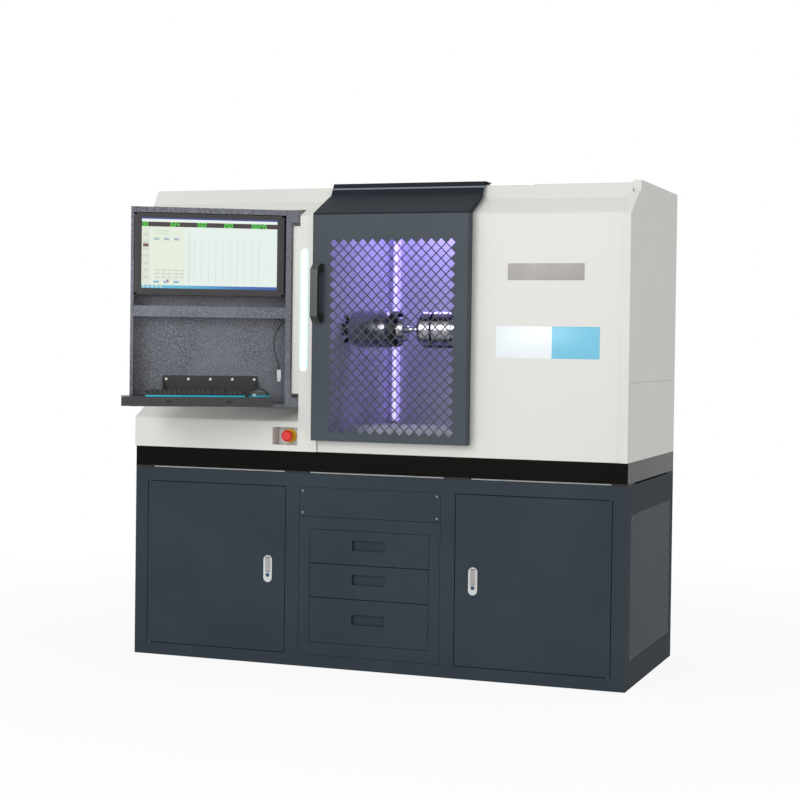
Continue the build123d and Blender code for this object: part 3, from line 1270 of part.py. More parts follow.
def monitor():
    """Monitor with a recessed screen, and the block that mounts it in the box."""
    rear = MONITOR_FRONT + MONITOR_DEPTH
    body = block((MONITOR_LEFT, MONITOR_RIGHT), (MONITOR_FRONT, rear), (MONITOR_BOTTOM, MONITOR_TOP))
    body -= block((MONITOR_LEFT + BEZEL_SIDE, MONITOR_RIGHT - BEZEL_SIDE),
                  (MONITOR_FRONT - CUT, MONITOR_FRONT + SCREEN_RECESS),
                  (MONITOR_BOTTOM + BEZEL_BOTTOM, MONITOR_TOP - BEZEL_TOP))
    x = (MONITOR_LEFT + MONITOR_RIGHT) / 2
    z = (MONITOR_BOTTOM + MONITOR_TOP) / 2
    mount = block((x - MOUNT_HALF, x + MOUNT_HALF), (rear, CONSOLE_FRONT + CONSOLE_DEPTH - HOUSING_SHEET),
                  (z - MOUNT_HALF, z + MOUNT_HALF))
    return [body, mount]


def tray():
    """Keyboard tray: lipped front, neck into the box and its gusseted bracket."""
    low = TRAY_TOP - TRAY_SHEET
    wall = CONSOLE_FRONT + CONSOLE_DEPTH - HOUSING_SHEET
    body = block((TRAY_LEFT, TRAY_RIGHT), (TRAY_FRONT, TRAY_REAR), (TRAY_LIP_Z, TRAY_TOP))
    body -= block((TRAY_LEFT + TRAY_SHEET, TRAY_RIGHT - TRAY_SHEET),
                  (TRAY_FRONT + TRAY_SHEET, TRAY_REAR - TRAY_SHEET), (TRAY_LIP_Z - CUT, low))
    body += block((NECK_LEFT, NECK_RIGHT), (TRAY_REAR, wall), (low, TRAY_TOP))
    body += block((BRACKET_LEFT, BRACKET_RIGHT), (wall - BRACKET_SHEET, wall), (TRAY_TOP, BRACKET_TOP))
    gusset = polygon([
        (wall - BRACKET_SHEET, TRAY_TOP), (wall - BRACKET_SHEET, GUSSET_TOP),
        (wall - GUSSET_REACH, TRAY_TOP),
    ])
    for x in (BRACKET_LEFT, BRACKET_RIGHT - BRACKET_SHEET):
        body += across(gusset, (x, x + BRACKET_SHEET))
    return body


def tray_bolts():
    """Row of bolt heads on the tray's bracket."""
    y = CONSOLE_FRONT + CONSOLE_DEPTH - HOUSING_SHEET - BRACKET_SHEET
    first = BRACKET_LEFT + BOLT_INSET
    step = (BRACKET_RIGHT - BOLT_INSET - first) / (BOLT_COUNT - 1)
    bolts = []
    for index in range(BOLT_COUNT):
        x = first + index * step
        bolts.append(hex_head((x, y, BOLT_Z), (x, y - BOLT_HEAD, BOLT_Z), BOLT_RADIUS))
    return bolts


def keyboard():
    """Wedge-shaped keyboard body."""
    outline = polygon([
        (KEYBOARD_FRONT, TRAY_TOP), (KEYBOARD_REAR, TRAY_TOP), (KEYBOARD_REAR, TRAY_TOP + KEYBOARD_HIGH),
        (KEYBOARD_FRONT, TRAY_TOP + KEYBOARD_LOW),
    ])
    return across(outline, (KEYBOARD_LEFT, KEYBOARD_RIGHT))


def mouse():
    """Mouse body with rounded ends and a chamfered top."""
    body = extrude(SlotOverall(MOUSE_LONG * 2, MOUSE_SHORT * 2), amount=MOUSE_HEIGHT)
    body = chamfer(body.edges().group_by(Axis.Z)[-1], MOUSE_ROUND)
    return Pos(MOUSE_X, MOUSE_Y, TRAY_TOP) * body


def lead_radii():
    """Arc radius at each inner point of the lead, from its shorter run and its turn."""
    points = [Vector(*point) for point in LEAD_ROUTE]
    runs = [end - start for start, end in zip(points, points[1:])]
    radii = []
    for before, after in zip(runs, runs[1:]):
        half_turn = math.radians(before.get_angle(after)) / 2
        radii.append(ARC_SHARE * min(before.length, after.length) / math.tan(half_turn))
    return radii


def usb_lead():
    """Lead that hangs from the cross rail."""
    radii = lead_radii()
    print("lead radii", [round(radius, 1) for radius in radii])
    path = FilletPolyline(*LEAD_ROUTE, radius=radii)
    section = Plane(origin=path @ 0, z_dir=path % 0) * Circle(LEAD_RADIUS)
    lead = sweep(section, path=path)
    print("lead length", round(path.length, 1), "volume share",
          round(lead.volume / (path.length * math.pi * LEAD_RADIUS ** 2), 4))
    return lead


def usb_plug():
    """Bead round the lead, and the plug at its free end."""
    bead = rod(LEAD_ROUTE[BEAD_RUN - 1], LEAD_ROUTE[BEAD_RUN], BEAD_RADIUS) - usb_lead()
    x, y, z = LEAD_ROUTE[-1]
    grip = block((x - PLUG_HALF_WIDTH, x + PLUG_HALF_WIDTH), (y - PLUG_HALF_DEPTH, y + PLUG_HALF_DEPTH),
                 (z - PLUG_LENGTH, z))
    tip = block((x - TIP_HALF_WIDTH, x + TIP_HALF_WIDTH), (y - TIP_HALF_DEPTH, y + TIP_HALF_DEPTH),
                (z - PLUG_LENGTH - TIP_LENGTH, z - PLUG_LENGTH))
    return [bead, grip + tip]


# Control gear and computer


def control_gear():
    """Mounting plate on stand-offs with the drive, controller, supply and terminals."""
    plate_rear = BACK - CABINET_SHEET - GEAR_STANDOFF
    plate_front = plate_rear - GEAR_PLATE
    solids = [block((GEAR_X - GEAR_PLATE_HALF, GEAR_X + GEAR_PLATE_HALF), (plate_front, plate_rear),
                    (GEAR_PLATE_BOTTOM, GEAR_PLATE_TOP))]
    for x in (GEAR_X - GEAR_PLATE_HALF, GEAR_X + GEAR_PLATE_HALF - GEAR_STANDOFF):
        for z in (GEAR_PLATE_BOTTOM, GEAR_PLATE_TOP - GEAR_STANDOFF):
            solids.append(block((x, x + GEAR_STANDOFF), (plate_rear, BACK - CABINET_SHEET),
                                (z, z + GEAR_STANDOFF)))
    for left, right, depth, bottom, top in GEAR_BLOCKS:
        solids.append(block((GEAR_X + left, GEAR_X + right), (plate_front - depth, plate_front),
                            (bottom, top)))
    return solids


def computer():
    return block((COMPUTER_LEFT, COMPUTER_LEFT + COMPUTER_WIDTH), (COMPUTER_Y, COMPUTER_Y + COMPUTER_DEPTH),
                 (DECK_Z, DECK_Z + COMPUTER_HEIGHT))


def save_cabinet():
    save("cabinet_front_frame", cabinet_front_frame())
    save("cabinet_walls", *cabinet_walls())
    save("cabinet_decks", *cabinet_decks())
    save("access_panels", *access_panels())
    save("panel_screws", *panel_screws())
    save("door_pivot_pins", *door_pivot_pins())
    save("drawer_bank", *drawer_bank())
    for name, level in zip(DRAWER_NAMES, drawer_levels()):
        save(name, drawer(level))
    for side in ("left", "right"):
        save(f"{side}_door", cabinet_door(side))
        save(f"{side}_lock_plate", lock_plate(side))
        save(f"{side}_lock_lever", lock_lever(side))
        save(f"{side}_lock_cylinder", lock_cylinder(side))
    save("control_gear", *control_gear())
    save("computer", computer())


def save_housing():
    save("bed", *bed())
    save("bed_feet", *bed_feet())
    save("housing_front_left", *housing_front_left())
    save("housing_front_right", housing_front_right())
    save("housing_left_end", housing_left_end())
    save("housing_right_end", housing_right_end())
    save("housing_roof", housing_roof())
    save("housing_back", *housing_back())
    save("led_strip", led_strip())
    save("estop_housing", estop_housing())
    save("estop_stem", estop_stem())
    save("estop_mushroom", estop_mushroom())
    save("door_track", door_track())
    save("safety_door", safety_door())
    save("door_hood", door_hood())
    save("door_handle", door_handle())
    save("door_shoes", *door_shoes())


def save_drive():
    save("chamber_walls", *chamber_walls())
    save("headstock", headstock())
    save("gearmotor", *gearmotor())
    save("spindle", spindle())
    save("linear_guides", *linear_guides())
    save("tail_carriage", *tail_carriage())
    save("torque_sensor", torque_sensor())
    save("specimen", specimen())
    save("drive_chuck", at_drive(chuck(DRIVE_CHUCK_LENGTH)))
    save("tail_chuck", at_tail(chuck(TAIL_CHUCK_LENGTH)))
    for name, side in (("upper", 1), ("lower", -1)):
        save(f"drive_jaw_{name}", at_drive(chuck_jaw(DRIVE_CHUCK_LENGTH, side)))
        save(f"tail_jaw_{name}", at_tail(chuck_jaw(TAIL_CHUCK_LENGTH, side)))


def save_console():
    save("console_hinges", *console_hinges())
    save("console_box", swung(console_box()))
    save("monitor", *[swung(piece) for piece in monitor()])
    save("tray", swung(tray()))
    save("tray_bolts", *[swung(bolt) for bolt in tray_bolts()])
    save("keyboard", swung(keyboard()))
    save("mouse", swung(mouse()))
    save("usb_lead", swung(usb_lead()))
    save("usb_plug", *[swung(piece) for piece in usb_plug()])


def main():
    os.makedirs("parts", exist_ok=True)
    save_cabinet()
    save_housing()
    save_drive()
    save_console()


if __name__ == "__main__":
    main()
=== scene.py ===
"""Finishes, detailed pieces and the stage of a torsion testing machine."""
import math

import bmesh
import bpy
from bpy.props import FloatProperty, FloatVectorProperty, IntProperty, PointerProperty
from mathutils import Matrix, Vector


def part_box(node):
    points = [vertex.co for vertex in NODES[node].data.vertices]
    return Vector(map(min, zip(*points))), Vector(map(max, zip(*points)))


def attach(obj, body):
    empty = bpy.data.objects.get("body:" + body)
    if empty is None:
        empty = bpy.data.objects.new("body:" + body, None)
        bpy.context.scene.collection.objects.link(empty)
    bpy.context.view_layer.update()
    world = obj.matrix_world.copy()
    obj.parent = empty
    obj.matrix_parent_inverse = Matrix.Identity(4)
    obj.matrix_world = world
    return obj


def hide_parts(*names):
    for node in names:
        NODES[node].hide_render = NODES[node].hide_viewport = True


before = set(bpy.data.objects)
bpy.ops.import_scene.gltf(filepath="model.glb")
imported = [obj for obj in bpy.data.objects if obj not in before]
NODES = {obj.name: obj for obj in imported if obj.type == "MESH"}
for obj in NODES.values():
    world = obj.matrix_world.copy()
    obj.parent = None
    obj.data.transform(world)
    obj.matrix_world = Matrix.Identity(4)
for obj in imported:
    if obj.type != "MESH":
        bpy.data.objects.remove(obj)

bl_info = {
    "name": "Torque tester",
    "version": (1, 0, 0),
    "blender": (4, 5, 0),
    "location": "3D View > Sidebar > Tester",
    "description": "Paints, details and lights a torsion testing machine",
    "category": "Object",
}

MIX_FIRST = 6
MIX_SECOND = 7
MIX_RESULT = 2
SHARP_ANGLE = math.radians(28)
SCREEN_WHITE = 255
SRGB_OFFSET = 0.055
SRGB_GAMMA = 2.4
MERGE_DISTANCE = 1e-6
FULL_TURN = math.tau

# The console is modelled closed and then swung out about its hinge, as its solids are.
HINGE_X = -0.331
HINGE_Y = -0.434
CONSOLE_SWING = math.radians(30)
HINGE = Matrix.Translation((HINGE_X, HINGE_Y, 0))
SWUNG = HINGE @ Matrix.Rotation(CONSOLE_SWING, 4, "Z") @ HINGE.inverted()


def linear(red, green, blue):
    """Linear colour of a paint given in screen values."""
    return tuple(((value / SCREEN_WHITE + SRGB_OFFSET) / (1 + SRGB_OFFSET)) ** SRGB_GAMMA
                 for value in (red, green, blue))


def scaled(colour, share):
    """Lighter or darker copy of a colour."""
    return tuple(part * share for part in colour)


# Shader nodes


class Value:
    """A number that varies over a surface; arithmetic on it adds Math nodes."""

    def __init__(self, finish, socket):
        self.finish = finish
        self.socket = socket

    def __add__(self, other):
        return self.finish.maths("ADD", self, other)

    __radd__ = __add__

    def __sub__(self, other):
        return self.finish.maths("SUBTRACT", self, other)

    def __rsub__(self, other):
        return self.finish.maths("SUBTRACT", other, self)

    def __mul__(self, other):
        return self.finish.maths("MULTIPLY", self, other)

    __rmul__ = __mul__

    def __truediv__(self, other):
        return self.finish.maths("DIVIDE", self, other)

    def __pow__(self, other):
        return self.finish.maths("POWER", self, other)

    def __mod__(self, other):
        return self.finish.maths("FLOORED_MODULO", self, other)

    def __gt__(self, other):
        return self.finish.maths("GREATER_THAN", self, other)

    def __lt__(self, other):
        return self.finish.maths("LESS_THAN", self, other)


class Finish:
    """A material built node by node."""

    def __init__(self, name):
        self.material = bpy.data.materials.new(name)
        self.material.use_nodes = True
        self.tree = self.material.node_tree
        self.tree.nodes.clear()
        self.place = self.node("ShaderNodeTexCoord").outputs["Object"]

    def node(self, kind, settings=None, sockets=None):
        """Add one node: its settings first, then the values or links of its sockets."""
        made = self.tree.nodes.new(kind)
        for key, value in (settings or {}).items():
            if key == "stops":
                self.set_stops(made.color_ramp, value)
            else:
                setattr(made, key, value)
        for key, value in (sockets or {}).items():
            self.feed(made.inputs[key], value)
        return made

    def feed(self, socket, value):
        """Link a socket to a varying value, or set a constant on it."""
        source = value.socket if isinstance(value, Value) else value
        if isinstance(source, bpy.types.NodeSocket):
            self.tree.links.new(source, socket)
        elif isinstance(source, tuple) and socket.type == "RGBA":
            socket.default_value = (*source[:3], 1)
        else:
            socket.default_value = source

    def set_stops(self, ramp, stops):
        """Give a ramp its stops, as pairs of position and colour."""
        while len(ramp.elements) < len(stops):
            ramp.elements.new(1)
        for element, (position, colour) in zip(ramp.elements, stops):
            element.position = position
            element.color = (*colour, 1)

    def maths(self, operation, first, second):
        made = self.node("ShaderNodeMath", {"operation": operation}, {0: first, 1: second})
        return Value(self, made.outputs[0])

    def clamped(self, value):
        made = self.node("ShaderNodeMath", {"operation": "ADD", "use_clamp": True}, {0: value, 1: 0.0})
        return Value(self, made.outputs[0])

    def smooth(self, value, low, high):
        """0 under the low value, 1 over the high one, smooth between."""
        made = self.node("ShaderNodeMapRange", {"interpolation_type": "SMOOTHSTEP"},
                         {"Value": value, "From Min": low, "From Max": high})
        return Value(self, made.outputs[0])

    def mix(self, factor, first, second):
        """Colour between two colours."""
        made = self.node("ShaderNodeMix", {"data_type": "RGBA"},
                         {0: factor, MIX_FIRST: first, MIX_SECOND: second})
        return made.outputs[MIX_RESULT]

    def noise(self, scale, detail=2.0, place=None, spread=0.5):
        made = self.node("ShaderNodeTexNoise", {}, {
            "Vector": place or self.place, "Scale": scale, "Detail": detail, "Roughness": spread})
        return Value(self, made.outputs[0])

    def cells(self, scale, feature="F1"):
        made = self.node("ShaderNodeTexVoronoi", {"feature": feature}, {"Vector": self.place, "Scale": scale})
        return Value(self, made.outputs[0])

    def axes(self, source=None):
        """The three coordinates of a point as values."""
        split = self.node("ShaderNodeSeparateXYZ", {}, {0: source or self.place})
        return [Value(self, output) for output in split.outputs]

    def stretched(self, scale):
        """Coordinates stretched along the axes, for brushed or turned grain."""
        made = self.node("ShaderNodeVectorMath", {"operation": "MULTIPLY"}, {0: self.place, 1: scale})
        return made.outputs[0]

    def bump(self, height, depth, normal=None):
        sockets = {"Height": height, "Distance": depth}
        if normal is not None:
            sockets["Normal"] = normal
        return self.node("ShaderNodeBump", {}, sockets).outputs["Normal"]

    def rounding(self, radius):
        """Normal that rounds the edges off."""
        return self.node("ShaderNodeBevel", {"samples": 4}, {"Radius": radius}).outputs["Normal"]

    def edge(self, radius, gain=4.0):
        """1 along sharp edges and 0 on flat faces."""
        flat = self.node("ShaderNodeNewGeometry").outputs["Normal"]
        dot = self.node("ShaderNodeVectorMath", {"operation": "DOT_PRODUCT"},
                        {0: self.rounding(radius), 1: flat})
        return self.clamped((1 - Value(self, dot.outputs["Value"])) * gain)

    def surface(self, constants=None, **varying):
        """End the material in a Principled shader."""
        names = {"colour": "Base Color", "rough": "Roughness", "metal": "Metallic", "normal": "Normal",
                 "coat": "Coat Weight", "glow": "Emission Color", "alpha": "Alpha"}
        sockets = {names[key]: value for key, value in varying.items()}
        sockets.update(constants or {})
        shader = self.node("ShaderNodeBsdfPrincipled", {}, sockets)
        self.node("ShaderNodeOutputMaterial", {}, {"Surface": shader.outputs[0]})
        return self.material


# Paints, metals and plastics

ROUNDING = 0.0014
WEAR_SCALE = 26.0
BROAD_SCALE = 2.3


def paint(name, colour, gloss, grain, depth, shift=0.035, wear=0.35, worn=None, shine=0.3,
          lines=None, line_colour=None):
    """Powder coat with a fine grain, uneven tone and edges rubbed lighter; lines= masks seams or a painted
    highlight along a fold.
    """
    finish = Finish(name)
    tone = finish.noise(BROAD_SCALE, 4.0)
    base = finish.mix(finish.smooth(tone, 0.3, 0.7), scaled(colour, 1 - shift), scaled(colour, 1 + shift))
    rubbed = finish.edge(ROUNDING) * finish.smooth(finish.noise(WEAR_SCALE, 3.0), 0.38, 0.7) * wear
    base = finish.mix(rubbed, base, worn or scaled(colour, 1.5))
    if lines is not None:
        base = finish.mix(lines(finish), base, line_colour)
    fine = finish.noise(grain, 2.0)
    rough = gloss + (tone - 0.5) * 0.12 + (fine - 0.5) * 0.1
    normal = finish.bump(fine, depth, finish.rounding(ROUNDING))
    return finish.surface({"Specular IOR Level": shine}, colour=base, rough=rough, normal=normal)


def housing_paint(colours):
    return paint("housing_coat", tuple(colours.housing), 0.42, 900.0, 0.00006, shift=0.012, wear=0.2,
                 worn=linear(236, 234, 230))


SEAM_Z = 1.2
SEAM_Y = 0.41
SEAM_HALF = 0.0014


def near(finish, value, place, half):
    """1 along a line where a value passes a place."""
    distance = finish.maths("ABSOLUTE", value - place, 0.0)
    return 1 - finish.smooth(distance, half * 0.5, half)


def cover_seams(finish):
    """Seams of the service panel in the lower part of an end cover."""
    _, y, z = finish.axes()
    depth = finish.maths("ABSOLUTE", y, 0.0)
    level = near(finish, z, SEAM_Z, SEAM_HALF) * (depth < SEAM_Y)
    upright = near(finish, depth, SEAM_Y, SEAM_HALF) * (z < SEAM_Z)
    return finish.clamped(level + upright)


def cover_paint(colours):
    housing = tuple(colours.housing)
    return paint("end_cover_coat", housing, 0.42, 900.0, 0.00006, shift=0.02, wear=0.2,
                 worn=linear(236, 234, 230), shine=0.2, lines=cover_seams, line_colour=scaled(housing, 0.55))


def cabinet_paint(colours):
    return paint("cabinet_coat", tuple(colours.cabinet), 0.5, 520.0, 0.00012, shift=0.08, shine=0.06)


def shaded_side_paint(colours):
    """Duller coat of the cabinet's sides and back, the cabinet colour darkened as painted shade."""
    return paint("cabinet_side_shaded_coat", scaled(tuple(colours.cabinet), 0.8), 0.6, 520.0, 0.00012,
                 shift=0.12, shine=0.04)


def door_paint(colours):
    return paint("safety_door_coat", tuple(colours.door), 0.44, 620.0, 0.00008, shift=0.08, shine=0.1)


# Height and half width of the painted highlight along the hood's top fold.
HOOD_FOLD_Z = 1.983
HOOD_FOLD_HALF = 0.004


# The hood takes the door's paint darkened as painted shade on its sloping top.
def shaded_hood_paint(colours):
    # Pale line along the top fold: painted highlight.
    return paint("door_hood_shaded_coat", tuple(colours.hood), 0.5, 620.0, 0.00008, shift=0.1, shine=0.06,
                 lines=lambda finish: near(finish, finish.axes()[2], HOOD_FOLD_Z, HOOD_FOLD_HALF) * 0.8,
                 line_colour=linear(142, 150, 168))


def bed_paint(colours):
    return paint("bed_enamel", tuple(colours.bed), 0.24, 300.0, 0.00005, shift=0.1, wear=0.2, shine=0.05)


def chamber_paint(colours):
    return paint("chamber_coat", tuple(colours.chamber), 0.5, 700.0, 0.00006, shift=0.03, wear=0.1)


def hammertone(colours):
    """Dark hammer finish with silver flecks."""
    colour = tuple(colours.console)
    finish = Finish("console_hammertone")
    flecks = finish.smooth(finish.noise(330.0, 3.0, spread=0.75), 0.47, 0.67)
    dents = finish.cells(150.0, "SMOOTH_F1")
    tone = finish.noise(BROAD_SCALE, 3.0)
    base = finish.mix(flecks, scaled(colour, 0.62), scaled(colour, 4.0))
    # Broad lighter clouds: uneven tone that also serves as a painted sheen across the panel.
    base = finish.mix(finish.smooth(tone, 0.42, 0.6) * 0.35, base, scaled(colour, 2.2))
    # Painted highlight: edges and the narrow posts lighter, as if catching light.
    base = finish.mix(finish.edge(ROUNDING) * 0.8, base, scaled(colour, 3.6))
    rough = 0.3 + flecks * 0.12 + (tone - 0.5) * 0.1
    normal = finish.bump(dents + flecks * 0.3, 0.0006, finish.rounding(ROUNDING))
    return finish.surface(colour=base, rough=rough, metal=flecks * 0.7, normal=normal)


def plastic(name, colour, gloss, grain=1400.0, depth=0.00005, coat=0.0):
    """Moulded plastic with a fine texture and faint handling marks."""
    finish = Finish(name)
    marks = finish.noise(14.0, 4.0)
    fine = finish.noise(grain, 2.0)
    base = finish.mix(finish.smooth(marks, 0.35, 0.75), scaled(colour, 0.93), scaled(colour, 1.08))
    base = finish.mix(finish.edge(ROUNDING / 2) * 0.25, base, scaled(colour, 1.6))
    rough = gloss + (marks - 0.5) * 0.14
    normal = finish.bump(fine, depth, finish.rounding(ROUNDING / 2))
    return finish.surface({"Coat Weight": coat}, colour=base, rough=rough, normal=normal)


def turned_steel(name, colour, gloss, lines=1500.0, axis=(1.0, 0.02, 0.02), depth=0.00003):
    """Machined steel with fine lathe or grinding lines and a few scuffs."""
    finish = Finish(name)
    rings = finish.noise(lines, 2.0, finish.stretched(axis))
    scuffs = finish.noise(40.0, 5.0)
    base = finish.mix(finish.smooth(scuffs, 0.4, 0.7), scaled(colour, 0.85), scaled(colour, 1.05))
    rough = gloss + (rings - 0.5) * 0.12 + (scuffs - 0.5) * 0.15
    normal = finish.bump(rings, depth, finish.rounding(ROUNDING / 2))
    return finish.surface({"Metallic": 1.0}, colour=base, rough=rough, normal=normal)


def cast_iron(colours):
    """Painted casting with a pebbled skin."""
    return paint("casting_paint", tuple(colours.casting), 0.5, 260.0, 0.0003, shift=0.08)


DIFFUSER_SHARE = 0.66


def glowing(name, core, rim, centre_x, half, strength, border=None):
    """Lit diffuser, whiter along its middle, with an unlit border where one is given."""
    finish = Finish(name)
    across_it = finish.axes()[0] - centre_x
    distance = finish.maths("ABSOLUTE", across_it, 0.0) / half
    ripple = finish.noise(300.0, 1.0)
    glow = finish.mix(finish.smooth(distance, 0.3, 0.72), core, rim)
    if border is not None:
        glow = finish.mix(distance > DIFFUSER_SHARE, glow, border)
    return finish.surface({"Emission Strength": strength}, colour=rim, rough=0.3 + ripple * 0.1, glow=glow)


# Meshes


def add_piece(name, body, bm, material, replaces=(), matrix=None):
    """Turn a bmesh into a piece that rides on a body."""
    if matrix is not None:
        bmesh.ops.transform(bm, matrix=matrix, verts=bm.verts)
    for face in bm.faces:
        face.smooth = True
    for edge in bm.edges:
        if edge.is_manifold and edge.calc_face_angle() > SHARP_ANGLE:
            edge.smooth = False
    mesh = bpy.data.meshes.new(name)
    bm.to_mesh(mesh)
    bm.free()
    mesh.materials.append(material)
    piece = bpy.data.objects.new(name, mesh)
    bpy.context.scene.collection.objects.link(piece)
    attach(piece, body)
    if replaces:
        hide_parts(*replaces)
    return piece


def add_box(bm, low, high, radius=0.0, segments=2, only=None):
    """Box between two corners with rounded edges; only= keeps the rounding to edges along one axis."""
    size = Vector(high) - Vector(low)
    place = Matrix.Translation((Vector(low) + Vector(high)) / 2) @ Matrix.Diagonal((*size, 1))
    made = bmesh.ops.create_cube(bm, size=1.0, matrix=place)
    edges = {edge for vert in made["verts"] for edge in vert.link_edges}
    if only is not None:
        edges = {edge for edge in edges if abs((edge.verts[0].co - edge.verts[1].co)[only]) > MERGE_DISTANCE}
    if radius:
        bmesh.ops.bevel(bm, geom=list(edges), offset=radius, affect="EDGES", segments=segments,
                        profile=0.5, material=-1)


def rounded_sharp(bm, radius, segments=2, limit=SHARP_ANGLE):
    """Round every edge sharper than the limit."""
    edges = [edge for edge in bm.edges if edge.is_manifold and edge.calc_face_angle() > limit]
    bmesh.ops.bevel(bm, geom=edges, offset=radius, affect="EDGES", segments=segments, profile=0.5,
                    material=-1, clamp_overlap=True)


def add_turned(bm, outline, start, axis, steps=64):
    """Turned body: (distance, radius) pairs from the start along the axis."""
    frame_turn = Vector((0, 0, 1)).rotation_difference(Vector(axis)).to_matrix().to_4x4()
    place = Matrix.Translation(start) @ frame_turn
    verts = [bm.verts.new(place @ Vector((radius, 0, distance))) for distance, radius in outline]
    edges = [bm.edges.new(pair) for pair in zip(verts, verts[1:])]
    bmesh.ops.spin(bm, geom=verts + edges, cent=start, axis=axis, dvec=(0, 0, 0), angle=FULL_TURN,
                   steps=steps, use_merge=True, use_duplicate=False)
    bmesh.ops.remove_doubles(bm, verts=bm.verts, dist=MERGE_DISTANCE)
    bmesh.ops.recalc_face_normals(bm, faces=bm.faces)


def dress(material, *names):
    """Give carried-over solids their finish."""
    for name in names:
        node = NODES[name]
        node.data.materials.clear()
        node.data.materials.append(material)


# Sizes and colours that a user would change


def colour_setting(name, description, value):
    return FloatVectorProperty(name=name, description=description, subtype="COLOR", size=3, min=0.0,
                               max=1.0, default=value)


def length_setting(name, description, value):
    return FloatProperty(name=name, description=description, subtype="DISTANCE", unit="LENGTH",
                         min=0.0, default=value)


class TesterColours(bpy.types.PropertyGroup):
    """Colours of the paints, plastics and lights."""

    housing: colour_setting("Housing", "Powder coat of the upper housing", linear(222, 222, 217))
    cabinet: colour_setting("Cabinet", "Paint of the cabinet, its doors and drawers", linear(54, 62, 70))
    door: colour_setting("Safety door", "Paint of the sliding door and its hood", linear(70, 77, 84))
    # Door paint darkened as painted shade for the sloping hood.
    hood: colour_setting("Door hood", "Paint of the sliding door's hood", linear(34, 39, 46))
    bed: colour_setting("Bed", "Enamel of the machine bed", linear(13, 14, 11))
    console: colour_setting("Console", "Hammer finish of the operator console", linear(88, 90, 98))
    chamber: colour_setting("Chamber", "Paint inside the test chamber", linear(196, 194, 214))
    casting: colour_setting("Castings", "Paint of the drive castings", linear(70, 74, 80))
    black_plastic: colour_setting("Black plastic", "Handle, tray edge, mouse and keys", linear(28, 32, 32))
    bezel: colour_setting("Monitor", "Plastic of the monitor", linear(48, 46, 48))
    steel: colour_setting("Steel", "Bright machined steel", linear(205, 205, 210))
    dark_steel: colour_setting("Dark steel", "Blackened steel of the chucks", linear(176, 174, 182))
    stop_red: colour_setting("Stop head", "Red of the emergency stop", linear(226, 40, 30))
    stop_yellow: colour_setting("Stop collar", "Yellow of the emergency stop", linear(250, 206, 30))
    lock_blue: colour_setting("Lock cylinder", "Blue of the door locks", linear(22, 70, 100))
    pale_plastic: colour_setting("Pale plastic", "Lock plates and the stop's plate", linear(228, 230, 232))
    edge_light: colour_setting("Keyboard edge", "Blue edge of keyboard and mouse", linear(30, 176, 204))


class TesterSizes(bpy.types.PropertyGroup):
    """Sizes of the detailed pieces."""

    key_pitch: length_setting("Key pitch", "Distance between the keys' middles", 0.0185)
    key_gap: length_setting("Key gap", "Gap between two keys", 0.003)
    lead_diameter: length_setting("Lead diameter", "Thickness of the data lead", 0.005)
    lead_length: length_setting("Lead length", "Real length of the data lead", 0.22)
    digit_height: length_setting("Digit height", "Height of the readout's digits", 0.017)
    turned_steps: IntProperty(name="Turned steps", description="Faces round a turned piece",
                              default=72, min=24, max=128)


# Carried-over solids


HINGE_STRIP_LOW = (-0.347, -0.4405, 1.128)
HINGE_STRIP_HIGH = (-0.315, -0.4385, 1.820)


class TESTER_OT_housing(bpy.types.Operator):
    """Paint the upper housing"""
    bl_idname = "tester.housing"
    bl_label = "Housing paint"

    def execute(self, context):
        colours = context.scene.tester_colours
        coat = housing_paint(colours)
        dress(coat, "housing_front_left", "housing_front_right", "housing_roof", "housing_back")
        dress(cover_paint(colours), "housing_left_end", "housing_right_end")
        bm = bmesh.new()
        add_box(bm, HINGE_STRIP_LOW, HINGE_STRIP_HIGH, 0.0008)
        add_piece("hinge_side_strip", "machine", bm, coat)
        return {"FINISHED"}


# Corners of the pale strip that stands as painted light in the gap under the bed.
GAP_STRIP_LOW = (-1.05, -0.419, 0.8012)
GAP_STRIP_HIGH = (1.05, -0.417, 0.8062)


class TESTER_OT_cabinet(bpy.types.Operator):
    """Paint the cabinet, its doors, panels and drawers"""
    bl_idname = "tester.cabinet"
    bl_label = "Cabinet paint"

    def execute(self, context):
        colours = context.scene.tester_colours
        # The sides and back take the cabinet paint darkened as painted shade.
        dress(shaded_side_paint(colours), "cabinet_walls")
        dress(cabinet_paint(colours), "cabinet_front_frame", "cabinet_decks",
              "access_panels", "drawer_bank", "drawer_top", "drawer_middle", "drawer_bottom",
              "left_door", "right_door")
        dress(bed_paint(colours), "bed")
        # Pale strip in the gap under the bed's front: painted light standing for the white background seen
        # through the gap.
        bm = bmesh.new()
        add_box(bm, GAP_STRIP_LOW, GAP_STRIP_HIGH)
        pale = plastic("painted_light_gap_strip", linear(214, 216, 214), 0.5)
        add_piece("bed_gap_painted_light_strip", "machine", bm, pale)
        dress(plastic("foot_rubber", linear(30, 30, 31), 0.8), "bed_feet")
        zinc = turned_steel("zinc_plate", linear(132, 134, 138), 0.5, axis=(0.5, 0.5, 0.5))
        dress(zinc, "panel_screws", "door_pivot_pins")
        dress(plastic("gear_plastic", linear(196, 198, 196), 0.5), "control_gear")
        dress(plastic("computer_case", linear(40, 42, 45), 0.45), "computer")
        return {"FINISHED"}


